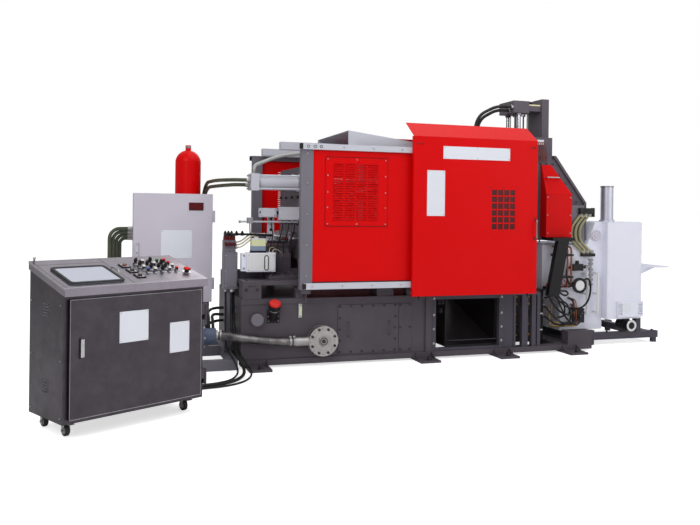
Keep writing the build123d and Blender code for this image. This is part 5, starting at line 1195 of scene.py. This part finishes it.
def make_console_lid():
    """Seams, screen, switches and caps on the sloped lid."""
    on_lid("screen_bezel", "black_plastic", [(frame_ring, screen_middle, (362, 292), 30, 22, 5.5, 6)], 1.5)
    on_lid("screen_pane", "display", [(prism, rounded_outline(screen_middle, (326, 256), 20, 3.5), (0, 0, 3.5))])
    on_lid("lid_seams", "black_plastic", [
        (block, (-45.2, -236, -0.5), (-43, 236, 0.6)), (block, (-485, -236, -0.5), (-483.2, 236, 0.6)),
        (block, (-483.2, 160, -0.5), (-45.2, 161.2, 0.6))])
    # Polished strips, lighter than the lid, along its front and side edges: painted highlight lines where the edges
    # catch the light
    on_lid("lid_edge_trim", "polished_steel", [
        (block, (-495, -245.8, -12), (495, -244, 1.2)), (block, (-496.5, -245.8, -12), (-493.5, 245.8, 1.2)),
        (block, (493.5, -245.8, -12), (496.5, 245.8, 1.2))], 0.6)
    on_lid("switch_faces", "polished_steel", [
        (block, (30, y - 26, 5.8), (76, y + 26, 7.8)) for y in switch_rows], 0.8)
    keys = [(prism, rounded_outline((53, y), (24, 24), 4, 7.8), (0, 0, 6)) for y in switch_rows]
    on_lid("switch_keys", "wire_brown", keys[:1], 1)
    on_lid("switch_keys_low", "black_plastic", keys[1:], 1)
    knobs, caps = [], {"white": [], "red": [], "green": [], "blue": []}
    for index, (kind, (x, y)) in enumerate(zip(button_kinds, button_places)):
        if kind == "knob":
            knobs.append((selector, x, y, 0.6 + 0.5 * (index % 3)))
        else:
            caps[kind].append((turned, (x, y, button_foot), up, button_cap, 24))
    on_lid("lid_caps_plastic", "black_plastic", knobs)
    for colour, shapes in caps.items():
        on_lid("lid_caps_" + colour, "button_" + colour, shapes)
    on_lid("stop_cap", "button_red", [
        (turned, (*stop_place, 22.8), up, ((0, 23.5), (4, 24), (8, 21), (11, 12), (11.5, 1)))])
    on_lid("button_collars", "polished_steel", [
        *[(ring, (x, y, 4.5), (0, 0, 2.3), 16.5, 11.2, 28) for x, y in button_places],
        (ring, (*stop_place, -0.2), (0, 0, 2.4), 32, 15.5)])
    on_lid("button_label_strips", "bare_plate", [
        (block, (x - 17, y - 27.3, -0.2), (x + 17, y - 19.7, 1)) for x, y in button_places])
    on_lid("screen_lid_grip", "polished_steel", [
        (tube, [(-61, 32, 0), (-61, 30, 12), (-60, 18, 18), (-56, -40, 18), (-55, -52, 12), (-54, -60, 0)], 3.5)])
    on_lid("lid_lock_knob", "zinc", [
        (rod, (-469, 232, 0), (0, 0, 20), 6),
        (turned, (-469, 232, 18), up, ((0, 9), (6, 10), (10, 7), (10, 1)))], 1.2)


def make_console_body():
    """Bare plates, lock, fold strips in a lighter metal as painted highlights, vents, screws and cable strain relief
    of the console box.
    """
    face = console_door_face
    on_console("console_door_plates", "bare_plate", (
        slabs(face - 1.2, face, (-142, 529, 56, 718)) + slabs(face - 1, face, (212, 424, 359, 618))),
        "console_door", 0.5)
    on_console("console_rivets", "zinc", (
        grid(cap_screw, (-133, 47), face - 1, (538, 709), front, 6)
        + grid(cap_screw, (219, 352), face - 1, (431, 611), front, 5)), "console_door")
    on_console("console_lock", "polished_steel", [
        (block, (-393.5, face - 13.5, 478), (-371.5, face - 11.8, 582)),
        (turned, (-382.5, face - 13, 560), front, ((0, 7.5), (2.5, 7.5), (3, 6), (3, 1)))], "console_door", 0.6)
    # Strips of lighter metal along the door's folded edges: painted highlights where the bends catch the light
    on_console("console_door_folds", "caster_zinc", slabs(
        face - 0.6, face + 1, (-454.5, 120.5, -451.5, 814.5), (451.5, 120.5, 454.5, 814.5),
        (-451.5, 811.5, 451.5, 814.5), (-451.5, 120.5, 451.5, 123.5)), "console_door", 0.5)
    on_console("console_gasket", "black_plastic", slabs(
        -221.5, -217.2, (-447, 128, 447, 134), (-447, 801, 447, 807), (-447, 134, -441, 801), (441, 134, 447, 801)))
    on_console("console_screws", "zinc", (
        grid(cap_screw, -485.3, (-190, 190), (130, 460, 780), left, 10)
        + grid(cap_screw, 485.3, (-190, 190), (130, 460, 780), right, 10)
        + grid(cap_screw, (-460, -150, 150, 460), 217.3, (130, 900), away, 10)))
    on_console("console_side_vents", "lid_steel", [
        (prism, [(end * x, y, middle + row * 17 + dz) for x, dz in (
            (485, 5), (491, -3.5), (489.8, -4.5), (485, 2))], (0, 30, 0))
        for end in (-1, 1) for middle in (288, 740) for row in range(-2, 3) for y in (-34, 4)])
    on_console("console_back_vent", "console_steel", [
        (block, (-300, 217, 640), (-20, 219.5, 820)),
        *[(prism, [(-285, y, z + dz) for y, dz in ((219.5, 8), (226.5, -3), (225, -4), (219.5, 4))], (250, 0, 0))
          for z in range(660, 821, 23)]])
    side_outline = ((0, 14.5), (6, 14.5), (30, 10), (30, 8.2))
    on_console("console_strain_relief", "black_plastic", [
        (turned, (250, 239, 190), away, ((0, 20), (6, 20), (12, 17.8), (34, 15), (34, 13.2))),
        *grid(rod, (190, 310), 217, 190, (0, 22, 0), 15), *grid(turned, (190, 310), 239, 190, away, side_outline)])


def make_casters():
    """Hub discs, axle nuts and swivel bolts of the four casters."""
    for index, (x, y) in enumerate(caster_places, 1):
        axle = (y + wheel_trail, wheel_height)
        on_console(f"wheel_hub_{index}", "hub_grey", [
            (turned, (x + side * 12.8, *axle), (side, 0, 0), hub_outline) for side in (-1, 1)],
            f"caster_wheel_{index}")
        on_console(f"axle_nuts_{index}", "zinc", [
            *[(hexagon, (x + side * 21, *axle), (side * 6, 0, 0), 7.5) for side in (-1, 1)],
            (ring, (x, y, 81.5), (0, 0, 4.7), 24, 10)], f"caster_fork_{index}")
    on_console("caster_plate_bolts", "zinc", [
        (hexagon, (x + dx, y + dy, 91), (0, 0, -4.2), 5.5)
        for x, y in caster_places for dx in (-25.5, 25.5) for dy in (-25.5, 25.5)])


# Cords


def metres(route):
    return [tuple(value / 1000 for value in point) for point in route]


console_cable_route = metres((
    (-3333.3, -1618.5, 190), (-3401.2, -1496.1, 190), (-3425, -1370, 75), (-3330, -1270, 16),
    (-3110, -1290, 14), (-2880, -1262, 14), (-2670, -1228, 14), (-2520, -1100, 14), (-2440, -920, 34),
    (-2475, -740, 115), (-2495, -600, 200), (-2487, -430, 380), (-2478, -385, 520), (-2478, -385, 650)))
console_cable_width = 0.026

# Two thinner cables that lie beside the console's own
inner_cable_route = metres((
    (-3280.8, -1589.4, 190), (-3348.7, -1467, 190), (-3375, -1345, 80), (-3290, -1228, 14),
    (-3100, -1236, 9), (-2890, -1208, 9), (-2700, -1172, 9), (-2565, -1070, 9), (-2492, -915, 36),
    (-2525, -745, 125), (-2545, -600, 150), (-2545, -500, 190), (-2538, -430, 330), (-2530, -375, 480),
    (-2530, -360, 622)))
outer_cable_route = metres((
    (-3385.8, -1647.6, 190), (-3453.7, -1525.2, 190), (-3480, -1395, 75), (-3375, -1310, 14),
    (-3120, -1345, 9), (-2860, -1318, 9), (-2620, -1275, 9), (-2450, -1120, 9), (-2385, -930, 30),
    (-2440, -750, 105), (-2464, -620, 180), (-2464, -470, 330), (-2458, -375, 480), (-2455, -345, 622)))
side_cable_width = 0.016
side_cable_lengths = (2.26, 2.49)


def cable(name, route, width):
    """A round cable along a smooth line, on the machine."""
    line = smooth_line(name, route, width / 2, 5, 10)
    line.materials.append(finishes["cable_black"])
    lead = put_in_scene(name, line)
    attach(lead, "machine")
    return lead


def make_cords():
    for name, route, length in (("inner_lead", inner_cable_route, side_cable_lengths[0]),
                                ("outer_lead", outer_cable_route, side_cable_lengths[1])):
        lead = cable(name, route, side_cable_width)
    lead = cable("console_lead", console_cable_route, console_cable_width)
    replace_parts(lead, "console_cable")


# Stage

floor_reach = 60
floor_level = -0.0008
floor_glow = 0.62
window_direction = (0.70, -0.70, 0.14)


def make_floor():
    """A pale floor that glows a little to the camera."""
    mesh = bpy.data.meshes.new("floor")
    corners = [(x * floor_reach, y * floor_reach, floor_level) for x, y in ((-1, -1), (1, -1), (1, 1), (-1, 1))]
    mesh.from_pydata(corners, [], [(0, 1, 2, 3)])
    floor = put_in_scene("floor", mesh)
    material = bpy.data.materials.new("floor_white")
    material.use_nodes = True
    tree = material.node_tree
    shader = tree.nodes["Principled BSDF"]
    shader.inputs["Base Color"].default_value = (0.93, 0.93, 0.93, 1)
    shader.inputs["Roughness"].default_value = 0.7
    seen = times(tree, add_node(tree, "LightPath").outputs["Is Camera Ray"], floor_glow)
    glow = add_node(tree, "Emission", {"Color": (1, 1, 1, 1), "Strength": seen})
    blend = add_node(tree, "AddShader", {0: shader.outputs["BSDF"], 1: glow.outputs["Emission"]})
    tree.links.new(blend.outputs["Shader"], tree.nodes["Material Output"].inputs["Surface"])
    mesh.materials.append(material)


def make_stage():
    """A pale floor, soft lamps and a white surround, which mirrors a hall with a window."""
    make_floor()
    world = bpy.data.worlds.new("surround")
    bpy.context.scene.world = world
    world.use_nodes = True
    tree = world.node_tree
    path = add_node(tree, "LightPath").outputs
    plain = arithmetic(tree, "MAXIMUM", path["Is Camera Ray"], path["Is Transmission Ray"])
    direction = add_node(tree, "TexCoord").outputs["Generated"]
    split = add_node(tree, "SeparateXYZ", {"Vector": direction}).outputs
    window = alignment(tree, direction, window_direction)
    ceiling = span(tree, split["Z"], 0.0, 0.9, 0.30, 1.10)
    hall = plus(tree, ceiling, span(tree, window, 0.55, 0.95, 0.0, 0.55))
    hall = times(tree, hall, span(tree, split["X"], -0.85, 0.0, 0.20, 1.0))
    mirrored = times(tree, path["Is Glossy Ray"], arithmetic(tree, "SUBTRACT", hall, 0.50))
    strength = plus(tree, span(tree, plain, 0.0, 1.0, 0.50, 1.0), mirrored)
    background = tree.nodes["Background"]
    background.inputs["Color"].default_value = (1, 1, 1, 1)
    tree.links.new(strength, background.inputs["Strength"])
    for name, settings in lamps.items():
        add_lamp(name, *settings)


make_camera()
make_stage()
dress_frame()
make_cords()
make_guards()
door_fittings(-1, "front_door")
door_fittings(1, "rear_door")
make_clamp_details()
make_valves()
make_lubricator()
make_tank_details()
make_base_details()
make_manifold_details()
make_line_details()
make_injection_details()
make_furnace_details()
make_cabinet_details()
make_pump_details()
make_console_lid()
make_console_body()
make_casters()

bpy.context.scene.view_settings.view_transform = "Standard"
